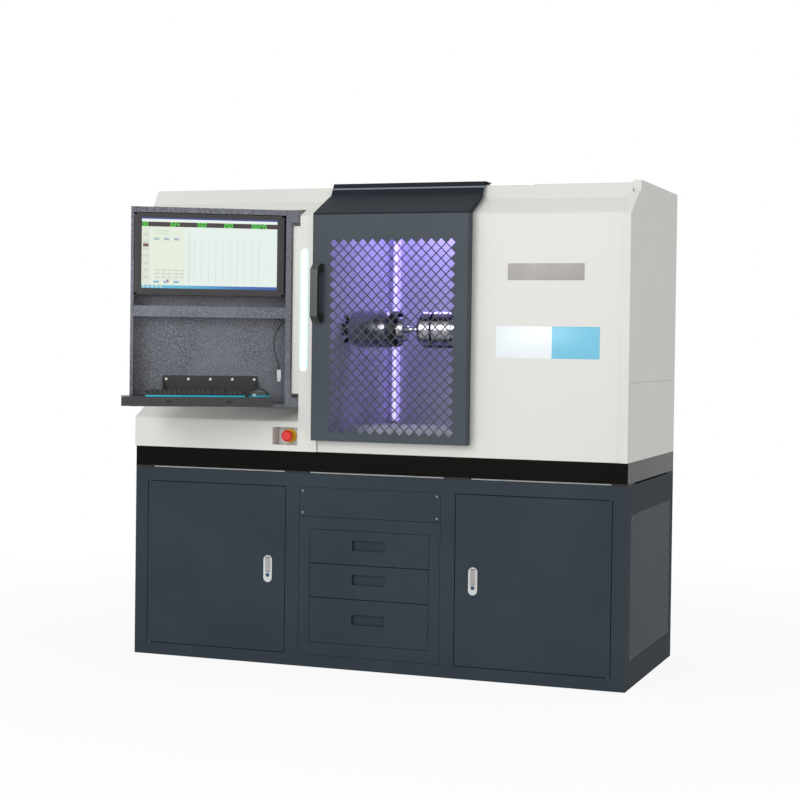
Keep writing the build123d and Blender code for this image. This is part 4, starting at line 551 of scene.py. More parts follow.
class TESTER_OT_door(bpy.types.Operator):
    """Paint the sliding safety door, its hood, handle and track"""
    bl_idname = "tester.door"
    bl_label = "Safety door paint"

    def execute(self, context):
        colours = context.scene.tester_colours
        dress(door_paint(colours), "safety_door")
        # The hood's coat is the door paint darkened as painted shade.
        dress(shaded_hood_paint(colours), "door_hood")
        dress(plastic("handle_plastic", linear(18, 28, 26), 0.3, coat=0.3), "door_handle")
        dress(turned_steel("track_steel", tuple(colours.steel), 0.3), "door_track")
        dress(plastic("shoe_plastic", tuple(colours.black_plastic), 0.5), "door_shoes")
        return {"FINISHED"}


AXIS_Y = -0.130
AXIS_Z = 1.402
COLLAR_X = -0.024
COLLAR_SHAPE = ((0.0, 0.064), (0.0, 0.071), (0.005, 0.076), (0.030, 0.076), (0.036, 0.070), (0.036, 0.064))
SLEEVE_X = 0.110
SLEEVE_SHAPE = ((0.0, 0.063), (0.0, 0.068), (0.014, 0.079), (0.058, 0.079), (0.058, 0.063))


def ring_outline(shape):
    """Closed outline of a ring from its open one."""
    return shape + shape[:1]


class TESTER_OT_drive(bpy.types.Operator):
    """Finish the chamber walls and the drive line"""
    bl_idname = "tester.drive"
    bl_label = "Drive line"

    def execute(self, context):
        colours = context.scene.tester_colours
        dark = turned_steel("chuck_steel", tuple(colours.dark_steel), 0.22)
        bright = turned_steel("ground_steel", tuple(colours.steel), 0.2)
        dress(chamber_paint(colours), "chamber_walls")
        dress(cast_iron(colours), "headstock", "gearmotor", "tail_carriage")
        dress(chamber_paint(colours), "linear_guides")
        dress(dark, "drive_chuck", "tail_chuck", "spindle", "torque_sensor")
        collar = bmesh.new()
        add_turned(collar, ring_outline(COLLAR_SHAPE), Vector((COLLAR_X, AXIS_Y, AXIS_Z)), (1, 0, 0))
        rubber = plastic("collar_rubber", linear(24, 23, 26), 0.45)
        add_piece("drive_chuck_collar", "spindle", collar, rubber)
        sleeve = bmesh.new()
        add_turned(sleeve, ring_outline(SLEEVE_SHAPE), Vector((SLEEVE_X, AXIS_Y, AXIS_Z)), (1, 0, 0))
        add_piece("tail_chuck_sleeve", "tail_carriage", sleeve, dark)
        dress(bright, "specimen", "drive_jaw_upper", "drive_jaw_lower", "tail_jaw_upper",
              "tail_jaw_lower")
        return {"FINISHED"}


TRAY_FRONT = -0.622
LIP_SLOTS = (-0.854, -0.618)
LIP_SLOT_HALF = 0.011
LIP_SLOT_BOTTOM = 1.094
LIP_SLOT_TOP = 1.102


class TESTER_OT_console(bpy.types.Operator):
    """Finish the console box, its hinges, tray and bolts"""
    bl_idname = "tester.console"
    bl_label = "Console"

    def execute(self, context):
        colours = context.scene.tester_colours
        coat = hammertone(colours)
        dress(coat, "console_box")
        dress(turned_steel("hinge_steel", linear(60, 60, 64), 0.35), "console_hinges")
        dress(plastic("tray_black", linear(44, 44, 47), 0.42), "tray")
        dress(turned_steel("bolt_zinc", linear(222, 218, 214), 0.28), "tray_bolts")
        # Dark patches on the tray lip stand for its slots: painted shade in the openings.
        bm = bmesh.new()
        for x in LIP_SLOTS:
            add_box(bm, (x - LIP_SLOT_HALF, TRAY_FRONT - 0.0004, LIP_SLOT_BOTTOM),
                    (x + LIP_SLOT_HALF, TRAY_FRONT, LIP_SLOT_TOP), 0.0035, 3, only=1)
        dark = plastic("slot_painted_shade", linear(10, 10, 11), 0.7)
        add_piece("tray_lip_slots", "console", bm, dark, matrix=SWUNG)
        return {"FINISHED"}


class TESTER_OT_locks(bpy.types.Operator):
    """Finish the door locks"""
    bl_idname = "tester.locks"
    bl_label = "Door locks"

    def execute(self, context):
        colours = context.scene.tester_colours
        pale = plastic("lock_pale", linear(208, 209, 208), 0.4)
        lever = plastic("lock_lever_grey", linear(168, 163, 162), 0.4)
        blue = plastic("lock_blue", tuple(colours.lock_blue), 0.3, coat=0.3)
        for side in ("left", "right"):
            dress(pale, f"{side}_lock_plate")
            dress(lever, f"{side}_lock_lever")
            dress(blue, f"{side}_lock_cylinder")
        return {"FINISHED"}


STOP_PLATE_LOW = (-0.427, -0.3845, 0.918)
STOP_PLATE_HIGH = (-0.320, -0.3825, 0.985)


class TESTER_OT_stop(bpy.types.Operator):
    """Finish the emergency stop and turn its head"""
    bl_idname = "tester.stop"
    bl_label = "Emergency stop"

    def execute(self, context):
        colours = context.scene.tester_colours
        red = plastic("stop_red", tuple(colours.stop_red), 0.3, coat=0.1)
        dress(plastic("stop_yellow", tuple(colours.stop_yellow), 0.35, coat=0.3), "estop_housing")
        dress(plastic("stop_stem", linear(40, 40, 42), 0.4), "estop_stem")
        dress(red, "estop_mushroom")
        bm = bmesh.new()
        add_box(bm, STOP_PLATE_LOW, STOP_PLATE_HIGH, 0.001)
        pale = plastic("stop_plate_white", tuple(colours.pale_plastic), 0.4)
        add_piece("stop_plate", "machine", bm, pale)
        return {"FINISHED"}


HOUSING_FACE = -0.43
PLATE_THICKNESS = 0.0012
NAME_PLATE = (0.578, 0.890, 1.598, 1.664)
WIDE_PLATE = (0.533, 0.955, 1.290, 1.416)
WIDE_PLATE_SPLIT = 0.762


def two_tone(name, left, right, split):
    """Plain printed film, one colour at the left of a line and another at its right."""
    finish = Finish(name)
    grain = finish.noise(800.0, 2.0)
    base = finish.mix(finish.axes()[0] > split, left, right)
    return finish.surface(colour=base, rough=0.35 + (grain - 0.5) * 0.1, normal=finish.bump(grain, 0.00003))


class TESTER_OT_plates(bpy.types.Operator):
    """Two bare plates on the right housing"""
    bl_idname = "tester.plates"
    bl_label = "Bare plates"

    def execute(self, context):
        colours = context.scene.tester_colours
        brushed = plastic("plate_grey", linear(172, 167, 162), 0.5)
        film = two_tone("plate_film", linear(236, 244, 248), linear(120, 198, 226), WIDE_PLATE_SPLIT)
        for name, edges, finish in (("name_plate", NAME_PLATE, brushed), ("wide_plate", WIDE_PLATE, film)):
            left, right, bottom, top = edges
            bm = bmesh.new()
            add_box(bm, (left, HOUSING_FACE - PLATE_THICKNESS, bottom), (right, HOUSING_FACE, top), 0.0004)
            add_piece(name, "machine", bm, finish)
        return {"FINISHED"}


# Lights that belong to the machine

CHAMBER_LIGHT_LEFT = -0.203
CHAMBER_LIGHT_RIGHT = -0.173
CHAMBER_LIGHT_FRONT = 0.335
CHAMBER_LIGHT_BACK = 0.366
CHAMBER_LIGHT_BOTTOM = 0.99
CHAMBER_LIGHT_TOP = 1.95
CEILING_LAMP_LOW = (-0.08, 0.1, 1.955)
CEILING_LAMP_HIGH = (0.4, 0.2, 1.97)


class TESTER_OT_lights(bpy.types.Operator):
    """Light strip on the column and the chamber's own lamp"""
    bl_idname = "tester.lights"
    bl_label = "Machine lights"

    def execute(self, context):
        low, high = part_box("led_strip")
        centre = (low.x + high.x) / 2
        strip = glowing("strip_diffuser", linear(255, 255, 255), linear(150, 240, 205), centre,
                        (high.x - low.x) / 2, 1.0, linear(186, 190, 184))
        dress(strip, "led_strip")
        bm = bmesh.new()
        add_box(bm, (CHAMBER_LIGHT_LEFT, CHAMBER_LIGHT_FRONT, CHAMBER_LIGHT_BOTTOM),
                (CHAMBER_LIGHT_RIGHT, CHAMBER_LIGHT_BACK, CHAMBER_LIGHT_TOP), 0.008, 3)
        middle = (CHAMBER_LIGHT_LEFT + CHAMBER_LIGHT_RIGHT) / 2
        lamp = glowing("lamp_diffuser", linear(240, 236, 255), linear(190, 170, 255), middle,
                       (CHAMBER_LIGHT_RIGHT - CHAMBER_LIGHT_LEFT) / 2, 0.85)
        add_piece("chamber_lamp", "machine", bm, lamp)
        bm = bmesh.new()
        add_box(bm, CEILING_LAMP_LOW, CEILING_LAMP_HIGH, 0.004, 2)
        middle = (CEILING_LAMP_LOW[0] + CEILING_LAMP_HIGH[0]) / 2
        lamp = glowing("ceiling_diffuser", linear(196, 184, 255), linear(176, 160, 255), middle, 0.3, 20.0)
        add_piece("chamber_ceiling_lamp", "machine", bm, lamp)
        return {"FINISHED"}


# Monitor

MONITOR_LEFT = -0.994
MONITOR_RIGHT = -0.386
MONITOR_BOTTOM = 1.527
MONITOR_TOP = 1.860
MONITOR_FRONT = -0.438
MONITOR_REAR = -0.400
MONITOR_CORNER = 0.006
BEZEL_SIDE = 0.029
BEZEL_TOP = 0.019
BEZEL_BOTTOM = 0.027
SCREEN_RECESS = 0.002
PANEL_LIFT = 0.0003
DIGIT_LIFT = 0.0002
MOUNT_HALF = 0.05
MOUNT_REAR = -0.35


def inside(value, low, high):
    return (value > low) * (value < high)


def screen_picture():
    """Window of a plain test program: bars, a form at the left and a chart at the right."""
    finish = Finish("screen_picture")
    uv = finish.node("ShaderNodeUVMap", {"uv_map": "screen"}).outputs[0]
    across_it, up_it = finish.axes(uv)[:2]
    down_it = 1 - up_it
    grain = finish.noise(900.0, 1.0, uv)
    ink = linear(206, 214, 204)
    base = finish.mix(inside(across_it, 0.07, 0.315), linear(228, 240, 234), linear(228, 237, 220))
    base = finish.mix(inside(across_it, 0.0, 0.062), base, linear(222, 229, 214))
    grid = inside((across_it - 0.385) % 0.053, 0.0, 0.0026) * inside(across_it, 0.38, 0.87)
    grid = grid * inside(down_it, 0.3, 0.93)
    base = finish.mix(grid * 0.6, base, linear(214, 178, 182))
    rows = inside((down_it - 0.33) % 0.075, 0.0, 0.003) * inside(across_it, 0.345, 0.88)
    base = finish.mix(rows * inside(down_it, 0.3, 0.93) * 0.5, base, linear(196, 212, 208))
    axis = inside(across_it, 0.345, 0.348) * inside(down_it, 0.2, 0.94)
    base = finish.mix(axis, base, linear(170, 186, 176))
    cells = inside(across_it % 0.046, 0.006, 0.04) * inside((down_it - 0.72) % 0.05, 0.012, 0.036)
    form = cells * inside(across_it, 0.09, 0.31) * inside(down_it, 0.72, 0.87)
    base = finish.mix(form, base, ink)
    menu = inside(across_it, 0.008, 0.05) * inside((down_it - 0.21) % 0.1, 0.02, 0.05)
    base = finish.mix(menu * inside(down_it, 0.2, 0.92), base, ink)
    chosen = inside(across_it, 0.01, 0.05) * inside(down_it, 0.37, 0.415)
    base = finish.mix(chosen, base, linear(120, 70, 72))
    labels = inside(down_it % 0.035, 0.01, 0.018) * inside(across_it, 0.09, 0.2) * inside(down_it, 0.18, 0.25)
    base = finish.mix(labels * finish.smooth(grain, 0.4, 0.6), base, linear(150, 160, 160))
    buttons = inside(across_it % 0.073, 0.015, 0.055)
    tops = buttons * inside(across_it, 0.08, 0.29) * inside(down_it, 0.285, 0.32)
    base = finish.mix(tops, base, linear(168, 186, 196))
    ends = buttons * inside(across_it, 0.08, 0.29) * inside(down_it, 0.895, 0.925)
    base = finish.mix(ends, base, linear(130, 175, 205))
    red = inside(across_it, 0.185, 0.2) * inside(down_it, 0.875, 0.9)
    base = finish.mix(red, base, linear(215, 60, 60))
    base = finish.mix(down_it < 0.055, base, linear(236, 242, 240))
    base = finish.mix(down_it < 0.022, base, linear(48, 66, 140))
    base = finish.mix(inside(down_it, 0.062, 0.128), base, linear(52, 36, 36))
    bar = finish.mix(finish.smooth(across_it, 0.1, 0.9), linear(90, 190, 225), linear(40, 90, 170))
    base = finish.mix(down_it > 0.958, base, bar)
    icons = inside(across_it % 0.032, 0.008, 0.022) * inside(across_it, 0.0, 0.16)
    base = finish.mix(icons * inside(down_it, 0.967, 0.99), base, linear(230, 225, 190))
    return finish.surface({"Base Color": (0.01, 0.01, 0.01, 1), "Emission Strength": 0.95,
                           "Coat Weight": 0.2}, rough=0.28 + grain * 0.04, glow=base)


def screen_low():
    return Vector((MONITOR_LEFT + BEZEL_SIDE, MONITOR_FRONT + SCREEN_RECESS, MONITOR_BOTTOM + BEZEL_BOTTOM))


def screen_high():
    return Vector((MONITOR_RIGHT - BEZEL_SIDE, MONITOR_FRONT + SCREEN_RECESS, MONITOR_TOP - BEZEL_TOP))


def monitor_body():
    """Rounded case whose front is sunk for the screen."""
    bm = bmesh.new()
    add_box(bm, (MONITOR_LEFT, MONITOR_FRONT, MONITOR_BOTTOM), (MONITOR_RIGHT, MONITOR_REAR, MONITOR_TOP),
            MONITOR_CORNER, 4, only=1)
    front = min(bm.faces, key=lambda face: face.calc_center_median().y)
    bmesh.ops.inset_region(bm, faces=[front], thickness=BEZEL_SIDE, use_even_offset=True)
    middle = (MONITOR_BOTTOM + MONITOR_TOP) / 2
    for vert in front.verts:
        vert.co.y += SCREEN_RECESS
        vert.co.z += BEZEL_BOTTOM - BEZEL_SIDE if vert.co.z < middle else BEZEL_SIDE - BEZEL_TOP
    walls = [edge for edge in bm.edges if edge.calc_face_angle(0) > SHARP_ANGLE * 2]
    bmesh.ops.bevel(bm, geom=walls, offset=0.0009, affect="EDGES", segments=2, profile=0.5, material=-1)
    return bm


def screen_panel():
    """Flat screen with its own map of across and up."""
    low = screen_low()
    high = screen_high()
    bm = bmesh.new()
    centre = (low + high) / 2 - Vector((0, PANEL_LIFT, 0))
    size = Matrix.Diagonal(((high - low).x, (high - low).z, 1, 1))
    facing = Matrix.Rotation(math.pi / 2, 4, "X")
    bmesh.ops.create_grid(bm, x_segments=1, y_segments=1, size=0.5,
                          matrix=Matrix.Translation(centre) @ facing @ size)
    layer = bm.loops.layers.uv.new("screen")
    for face in bm.faces:
        for loop in face.loops:
            loop[layer].uv = ((loop.vert.co.x - low.x) / (high - low).x,
                              (loop.vert.co.z - low.z) / (high - low).z)
    return bm


SEGMENTS = {
    "top": (0.0, 1.0, True), "middle": (0.0, 0.5, True), "bottom": (0.0, 0.0, True),
    "upper_left": (0.0, 0.5, False), "upper_right": (1.0, 0.5, False),
    "lower_left": (0.0, 0.0, False), "lower_right": (1.0, 0.0, False),
}
DIGITS = {
    "0": ("top", "bottom", "upper_left", "upper_right", "lower_left", "lower_right"),
    "1": ("upper_right", "lower_right"),
    "2": ("top", "middle", "bottom", "upper_right", "lower_left"),
    "4": ("middle", "upper_left", "upper_right", "lower_right"),
    "5": ("top", "middle", "bottom", "upper_left", "lower_right"),
    "7": ("top", "upper_right", "lower_right"),
}
READOUTS = ((0.0, "00"), (0.205, "024"), (0.405, "0.02"), (0.6, "20.0"), (0.805, "0.0245"))
DIGIT_WIDE = 0.55
DIGIT_STROKE = 0.14
DIGIT_STEP = 0.76
DIGIT_BOTTOM = 0.125


def add_digit(bm, shape, x, z, height):
    """One readout digit made of seven-segment strokes."""
    stroke = height * DIGIT_STROKE
    wide = height * DIGIT_WIDE
    front = MONITOR_FRONT + SCREEN_RECESS - PANEL_LIFT - DIGIT_LIFT
    for segment in DIGITS[shape]:
        right, up, level = SEGMENTS[segment]
        left = x + right * (wide - stroke)
        bottom = z + up * (height - stroke)
        size = (wide, stroke) if level else (stroke, height / 2)
        add_box(bm, (left, front, bottom), (left + size[0], front + DIGIT_LIFT, bottom + size[1]))


def readout(height):
    """Green digits on the dark bar of the screen."""
    low = screen_low()
    high = screen_high()
    bm = bmesh.new()
    z = high.z - DIGIT_BOTTOM * (high - low).z
    for share, text in READOUTS:
        x = low.x + share * (high - low).x + height * DIGIT_STROKE
        for shape in text:
            if shape == ".":
                stroke = height * DIGIT_STROKE
                front = MONITOR_FRONT + SCREEN_RECESS - PANEL_LIFT - DIGIT_LIFT
                add_box(bm, (x - stroke, front, z), (x, front + DIGIT_LIFT, z + stroke))
            else:
                add_digit(bm, shape, x, z, height)
                x += height * DIGIT_STEP
    return bm


class TESTER_OT_monitor(bpy.types.Operator):
    """Monitor case, its screen and the readout"""
    bl_idname = "tester.monitor"
    bl_label = "Monitor"

    def execute(self, context):
        colours = context.scene.tester_colours
        sizes = context.scene.tester_sizes
        case = plastic("monitor_case", tuple(colours.bezel), 0.38)
        body = monitor_body()
        middle_x = (MONITOR_LEFT + MONITOR_RIGHT) / 2
        middle_z = (MONITOR_BOTTOM + MONITOR_TOP) / 2
        add_box(body, (middle_x - MOUNT_HALF, MONITOR_REAR, middle_z - MOUNT_HALF),
                (middle_x + MOUNT_HALF, MOUNT_REAR, middle_z + MOUNT_HALF), 0.003)
        add_piece("monitor_case", "console", body, case, ["monitor"], SWUNG)
        add_piece("monitor_screen", "console", screen_panel(), screen_picture(),
                  matrix=SWUNG)
        green = Finish("readout_green")
        flicker = green.noise(500.0)
        tint = green.mix(flicker, linear(60, 225, 50), linear(90, 250, 80))
        lit = green.surface({"Emission Strength": 1.0}, colour=linear(10, 30, 10), rough=0.4, glow=tint)
        add_piece("monitor_digits", "console", readout(sizes.digit_height), lit,
                  matrix=SWUNG)
        return {"FINISHED"}


# Keyboard and mouse

TRAY_TOP = 1.117
KEYBOARD_LEFT = -0.945
KEYBOARD_RIGHT = -0.552
KEYBOARD_FRONT = -0.610
KEYBOARD_REAR = -0.475
KEYBOARD_LOW = 0.014
KEYBOARD_HIGH = 0.028
KEY_MARGIN = 0.009
KEY_RISE = 0.004
KEY_ROWS = 6
EDGE_PLATE = 0.007
KEY_BLOCKS = ((0.0, 0.665), (0.69, 0.82), (0.845, 1.0))


def keyboard_slope(y):
    """Height of the keyboard's top over the tray at a depth."""
    share = (y - KEYBOARD_FRONT) / (KEYBOARD_REAR - KEYBOARD_FRONT)
    return KEYBOARD_LOW + share * (KEYBOARD_HIGH - KEYBOARD_LOW)


def keyboard_body():
    bm = bmesh.new()
    add_box(bm, (KEYBOARD_LEFT, KEYBOARD_FRONT, TRAY_TOP + EDGE_PLATE),
            (KEYBOARD_RIGHT, KEYBOARD_REAR, TRAY_TOP + KEYBOARD_HIGH - KEY_RISE))
    for vert in bm.verts:
        if vert.co.z > TRAY_TOP + EDGE_PLATE + MERGE_DISTANCE:
            vert.co.z = TRAY_TOP + keyboard_slope(vert.co.y) - KEY_RISE
    rounded_sharp(bm, 0.002, 2)
    return bm


def keyboard_keys(sizes):
    """Rows of keys in three blocks, each key narrower at its top."""
    bm = bmesh.new()
    span = KEYBOARD_RIGHT - KEYBOARD_LEFT - 2 * KEY_MARGIN
    depth = KEYBOARD_REAR - KEYBOARD_FRONT - 2 * KEY_MARGIN
    row_pitch = depth / KEY_ROWS
    half_y = (row_pitch - sizes.key_gap) / 2
    for start, end in KEY_BLOCKS:
        count = round((end - start) * span / sizes.key_pitch)
        pitch = (end - start) * span / count
        half_x = (pitch - sizes.key_gap) / 2
        for row in range(KEY_ROWS):
            y = KEYBOARD_FRONT + KEY_MARGIN + (row + 0.5) * row_pitch
            top = TRAY_TOP + keyboard_slope(y) - 0.0004
            for column in range(count):
                x = KEYBOARD_LEFT + KEY_MARGIN + start * span + (column + 0.5) * pitch
                before = set(bm.verts)
                add_box(bm, (x - half_x, y - half_y, top - KEY_RISE), (x + half_x, y + half_y, top))
                for vert in set(bm.verts) - before:
                    if vert.co.z > top - MERGE_DISTANCE:
                        vert.co.x = x + (vert.co.x - x) * 0.82
                        vert.co.y = y + (vert.co.y - y) * 0.86
    return bm


class TESTER_OT_keyboard(bpy.types.Operator):
    """Keyboard with its blue edge and keys"""
    bl_idname = "tester.keyboard"
    bl_label = "Keyboard"

    def execute(self, context):
        colours = context.scene.tester_colours
        black = plastic("keyboard_black", tuple(colours.black_plastic), 0.4)
        body = add_piece("keyboard_body", "console", keyboard_body(), black,
                         ["keyboard"], SWUNG)
        plate = bmesh.new()
        add_box(plate, (KEYBOARD_LEFT, KEYBOARD_FRONT, TRAY_TOP),
                (KEYBOARD_RIGHT, KEYBOARD_REAR, TRAY_TOP + EDGE_PLATE), 0.0012)
        blue = plastic("edge_blue", tuple(colours.edge_light), 0.35)
        add_piece("keyboard_edge", "console", plate, blue, matrix=SWUNG)
        keys = plastic("key_black", scaled(tuple(colours.black_plastic), 1.3), 0.5)
        add_piece("keyboard_keys", "console", keyboard_keys(context.scene.tester_sizes), keys,
                  matrix=SWUNG)
        return {"FINISHED"}


MOUSE_X = -0.490
MOUSE_Y = -0.542
MOUSE_LONG = 0.045
MOUSE_SHORT = 0.029
MOUSE_HEIGHT = 0.034
MOUSE_SKIRT = 0.006


def mouse_shell():
    """Domed mouse, flattened where it stands."""
    bm = bmesh.new()
    bmesh.ops.create_uvsphere(bm, u_segments=48, v_segments=24, radius=1.0)
    bmesh.ops.scale(bm, vec=(MOUSE_LONG - 0.001, MOUSE_SHORT - 0.001, MOUSE_HEIGHT - MOUSE_SKIRT),
                    verts=bm.verts)
    bmesh.ops.bisect_plane(bm, geom=bm.verts[:] + bm.edges[:] + bm.faces[:], plane_co=(0, 0, 0),
                           plane_no=(0, 0, -1), clear_outer=True)
    rim = [edge for edge in bm.edges if edge.is_boundary]
    bmesh.ops.contextual_create(bm, geom=rim)
    bmesh.ops.translate(bm, vec=(MOUSE_X, MOUSE_Y, TRAY_TOP + MOUSE_SKIRT), verts=bm.verts)
    bmesh.ops.recalc_face_normals(bm, faces=bm.faces)
    return bm


def mouse_skirt():
    """Blue band round the mouse's foot."""
    bm = bmesh.new()
    bmesh.ops.create_cone(bm, cap_ends=True, segments=48, radius1=1.0, radius2=1.0, depth=1.0)
    bmesh.ops.scale(bm, vec=(MOUSE_LONG, MOUSE_SHORT, MOUSE_SKIRT), verts=bm.verts)
    bmesh.ops.translate(bm, vec=(MOUSE_X, MOUSE_Y, TRAY_TOP + MOUSE_SKIRT / 2), verts=bm.verts)
    rounded_sharp(bm, 0.0015, 2, math.radians(60))
    return bm


class TESTER_OT_mouse(bpy.types.Operator):
    """Mouse with a domed shell on a blue band"""
    bl_idname = "tester.mouse"
    bl_label = "Mouse"

    def execute(self, context):
        colours = context.scene.tester_colours
        shell = plastic("mouse_black", linear(22, 44, 38), 0.22, coat=0.5)
        add_piece("mouse_shell", "console", mouse_shell(), shell, ["mouse"], SWUNG)
        band = plastic("mouse_blue", tuple(colours.edge_light), 0.3)
        add_piece("mouse_band", "console", mouse_skirt(), band, matrix=SWUNG)
        return {"FINISHED"}


# Data lead

LEAD_ROUTE = (
    (-0.396, -0.433, 1.438), (-0.396, -0.433, 1.420), (-0.412, -0.431, 1.392), (-0.423, -0.429, 1.352),
    (-0.422, -0.428, 1.308), (-0.410, -0.429, 1.268), (-0.401, -0.430, 1.244), (-0.401, -0.430, 1.226),
)


PLUG_TOP = 1.25


def plug_shell(colours):
    """Pale metal on the plug and black plastic on the bead above it."""
    finish = Finish("plug_shell")
    bead = finish.smooth(finish.axes()[2], PLUG_TOP, PLUG_TOP + 0.01)
    scuffs = finish.noise(120.0, 3.0)
    base = finish.mix(bead, linear(206, 208, 210), tuple(colours.black_plastic))
    rough = 0.32 + (scuffs - 0.5) * 0.2
    return finish.surface(colour=base, rough=rough, normal=finish.bump(scuffs, 0.00005))


class TESTER_OT_lead(bpy.types.Operator):
    """Hanging data lead with its bead and plug"""
    bl_idname = "tester.lead"
    bl_label = "Data lead"

    def execute(self, context):
        sizes = context.scene.tester_sizes
        colours = context.scene.tester_colours
        curve = bpy.data.curves.new("data_lead", "CURVE")
        curve.dimensions = "3D"
        curve.bevel_depth = sizes.lead_diameter / 2
        curve.bevel_resolution = 4
        curve.resolution_u = 16
        curve.use_fill_caps = True
        spline = curve.splines.new("NURBS")
        spline.points.add(len(LEAD_ROUTE) - 1)
        for point, place in zip(spline.points, LEAD_ROUTE):
            point.co = (*(SWUNG @ Vector(place)), 1)
        spline.order_u = 3
        spline.use_endpoint_u = True
        curve.materials.append(plastic("lead_rubber", linear(20, 20, 22), 0.45))
        lead = bpy.data.objects.new("data_lead", curve)
        context.scene.collection.objects.link(lead)
        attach(lead, "console")
        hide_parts("usb_lead")
        dress(plug_shell(colours), "usb_plug")
        return {"FINISHED"}


# Stage

CAMERA_PLACE = (2.5701, -6.8847, 1.3457)
CAMERA_YAW = 19.622
CAMERA_PITCH = 1.031
CAMERA_ROLL = 0.769
CAMERA_LENS = 76.73
CAMERA_SHIFT = (-0.0411, -0.033)
SENSOR = 36.0
FLOOR_SIZE = 24.0


def floor_material():
    """Pale floor that keeps the shadow and fades into the white background."""
    finish = Finish("pale_floor")
    path = finish.node("ShaderNodeLightPath")
    seen = finish.clamped(Value(finish, path.outputs["Is Camera Ray"])
                          + Value(finish, path.outputs["Is Glossy Ray"])
                          + Value(finish, path.outputs["Is Transmission Ray"]))
    x, y, _ = finish.axes()
    distance = (x * x + y * y) ** 0.5
    lift = 0.9 + finish.smooth(distance, 1.6, 4.0) * 0.1
    plain = finish.node("ShaderNodeBsdfDiffuse", {}, {"Color": (0.9, 0.9, 0.9)})
    white = finish.node("ShaderNodeEmission", {}, {"Color": (1.0, 1.0, 1.0), "Strength": 1.0})
    mixed = finish.node("ShaderNodeMixShader", {}, {0: seen * lift, 1: plain.outputs[0], 2: white.outputs[0]})
    finish.node("ShaderNodeOutputMaterial", {}, {"Surface": mixed.outputs[0]})
    return finish.material


def white_world():
    """World that is white to the camera and softer as a light."""
    world = bpy.data.worlds.new("soft_world")
    world.use_nodes = True
    tree = world.node_tree
    tree.nodes.clear()
    path = tree.nodes.new("ShaderNodeLightPath")
    seen = tree.nodes.new("ShaderNodeMath")
    seen.operation = "ADD"
    seen.use_clamp = True
    shown = tree.nodes.new("ShaderNodeMath")
    shown.operation = "ADD"
    tree.links.new(path.outputs["Is Camera Ray"], shown.inputs[0])
    tree.links.new(path.outputs["Is Glossy Ray"], shown.inputs[1])
    tree.links.new(shown.outputs[0], seen.inputs[0])
    tree.links.new(path.outputs["Is Transmission Ray"], seen.inputs[1])
    strength = tree.nodes.new("ShaderNodeMapRange")
    strength.inputs["To Min"].default_value = 0.56
    strength.inputs["To Max"].default_value = 1.0
    tree.links.new(seen.outputs[0], strength.inputs["Value"])
    sky = tree.nodes.new("ShaderNodeBackground")
    sky.inputs["Color"].default_value = (1, 1, 1, 1)
    tree.links.new(strength.outputs[0], sky.inputs["Strength"])
    out = tree.nodes.new("ShaderNodeOutputWorld")
    tree.links.new(sky.outputs[0], out.inputs["Surface"])
    return world


def add_lamp(name, place, target, size, power):
    """Square area lamp that faces a point."""
    data = bpy.data.lights.new(name, "AREA")
    data.shape = "SQUARE"
    data.size = size
    data.energy = power
    lamp = bpy.data.objects.new(name, data)
    turn = (Vector(target) - Vector(place)).to_track_quat("-Z", "Y")
    lamp.matrix_world = Matrix.Translation(place) @ turn.to_matrix().to_4x4()
    bpy.context.scene.collection.objects.link(lamp)


def add_camera():
    yaw = math.radians(CAMERA_YAW)
    pitch = math.radians(CAMERA_PITCH)
    forward = Vector((-math.sin(yaw) * math.cos(pitch), math.cos(yaw) * math.cos(pitch), -math.sin(pitch)))
    turn = forward.to_track_quat("-Z", "Y").to_matrix().to_4x4()
    data = bpy.data.cameras.new("camera")
    data.sensor_width = SENSOR
    data.lens = CAMERA_LENS
    data.shift_x, data.shift_y = CAMERA_SHIFT
    camera = bpy.data.objects.new("camera", data)
    roll = Matrix.Rotation(math.radians(CAMERA_ROLL), 4, "Z")
    camera.matrix_world = Matrix.Translation(CAMERA_PLACE) @ turn @ roll
    bpy.context.scene.collection.objects.link(camera)
    bpy.context.scene.camera = camera


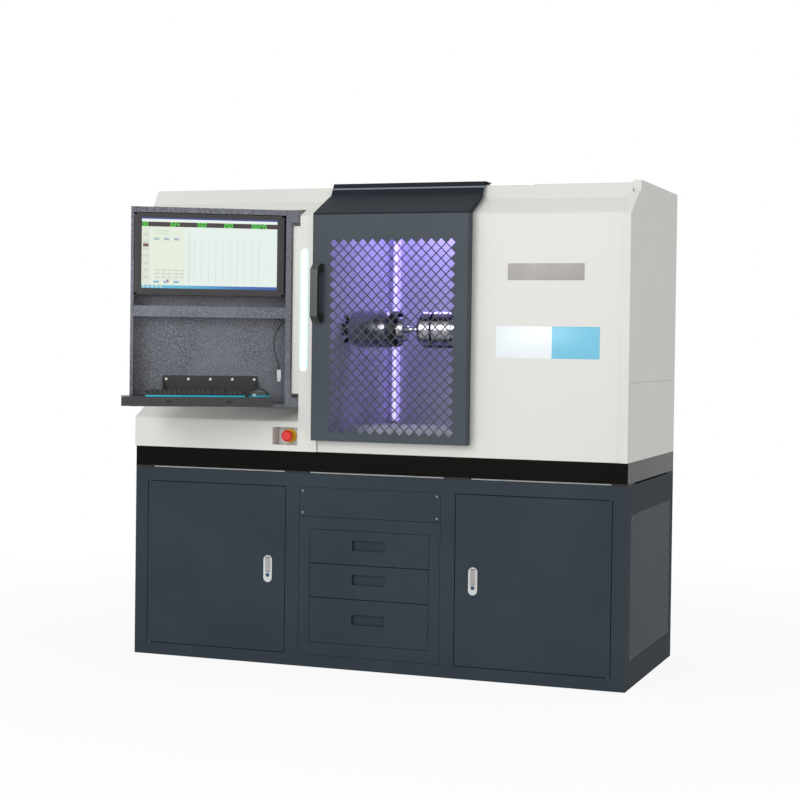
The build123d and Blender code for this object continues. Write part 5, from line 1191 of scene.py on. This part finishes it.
class TESTER_OT_stage(bpy.types.Operator):
    """Floor, world, lamps and camera"""
    bl_idname = "tester.stage"
    bl_label = "Stage"

    def execute(self, context):
        scene = context.scene
        scene.view_settings.view_transform = "Standard"
        bm = bmesh.new()
        bmesh.ops.create_grid(bm, x_segments=1, y_segments=1, size=FLOOR_SIZE)
        mesh = bpy.data.meshes.new("floor")
        bm.to_mesh(mesh)
        bm.free()
        mesh.materials.append(floor_material())
        floor = bpy.data.objects.new("floor", mesh)
        scene.collection.objects.link(floor)
        scene.world = white_world()
        add_lamp("key_lamp", (-1.2, -6.4, 2.7), (0, 0, 1), 2.6, 165)
        add_lamp("fill_lamp", (4.2, -3.0, 2.6), (0, 0, 1), 2.6, 8)
        add_lamp("top_lamp", (0.4, -0.4, 5.4), (0, 0, 1), 3.0, 22)
        add_camera()
        return {"FINISHED"}


STEPS = (
    TESTER_OT_housing, TESTER_OT_cabinet, TESTER_OT_door, TESTER_OT_drive, TESTER_OT_console,
    TESTER_OT_locks, TESTER_OT_stop, TESTER_OT_plates, TESTER_OT_lights, TESTER_OT_monitor, TESTER_OT_keyboard,
    TESTER_OT_mouse, TESTER_OT_lead, TESTER_OT_stage,
)


class TESTER_PT_panel(bpy.types.Panel):
    """Panel that lists the tester's steps"""
    bl_idname = "TESTER_PT_panel"
    bl_label = "Torque tester"
    bl_space_type = "VIEW_3D"
    bl_region_type = "UI"
    bl_category = "Tester"

    def draw(self, context):
        layout = self.layout
        for settings in (context.scene.tester_colours, context.scene.tester_sizes):
            for name in settings.__annotations__:
                layout.prop(settings, name)
        for step in STEPS:
            layout.operator(step.bl_idname)


GROUPS = (TesterColours, TesterSizes)


def register():
    for made in GROUPS + STEPS + (TESTER_PT_panel,):
        bpy.utils.register_class(made)
    bpy.types.Scene.tester_colours = PointerProperty(type=TesterColours)
    bpy.types.Scene.tester_sizes = PointerProperty(type=TesterSizes)


def unregister():
    del bpy.types.Scene.tester_sizes
    del bpy.types.Scene.tester_colours
    for made in reversed(GROUPS + STEPS + (TESTER_PT_panel,)):
        bpy.utils.unregister_class(made)


def main():
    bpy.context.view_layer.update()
    register()
    for step in STEPS:
        group, name = step.bl_idname.split(".")
        getattr(getattr(bpy.ops, group), name)()


if __name__ == "__main__":
    main()
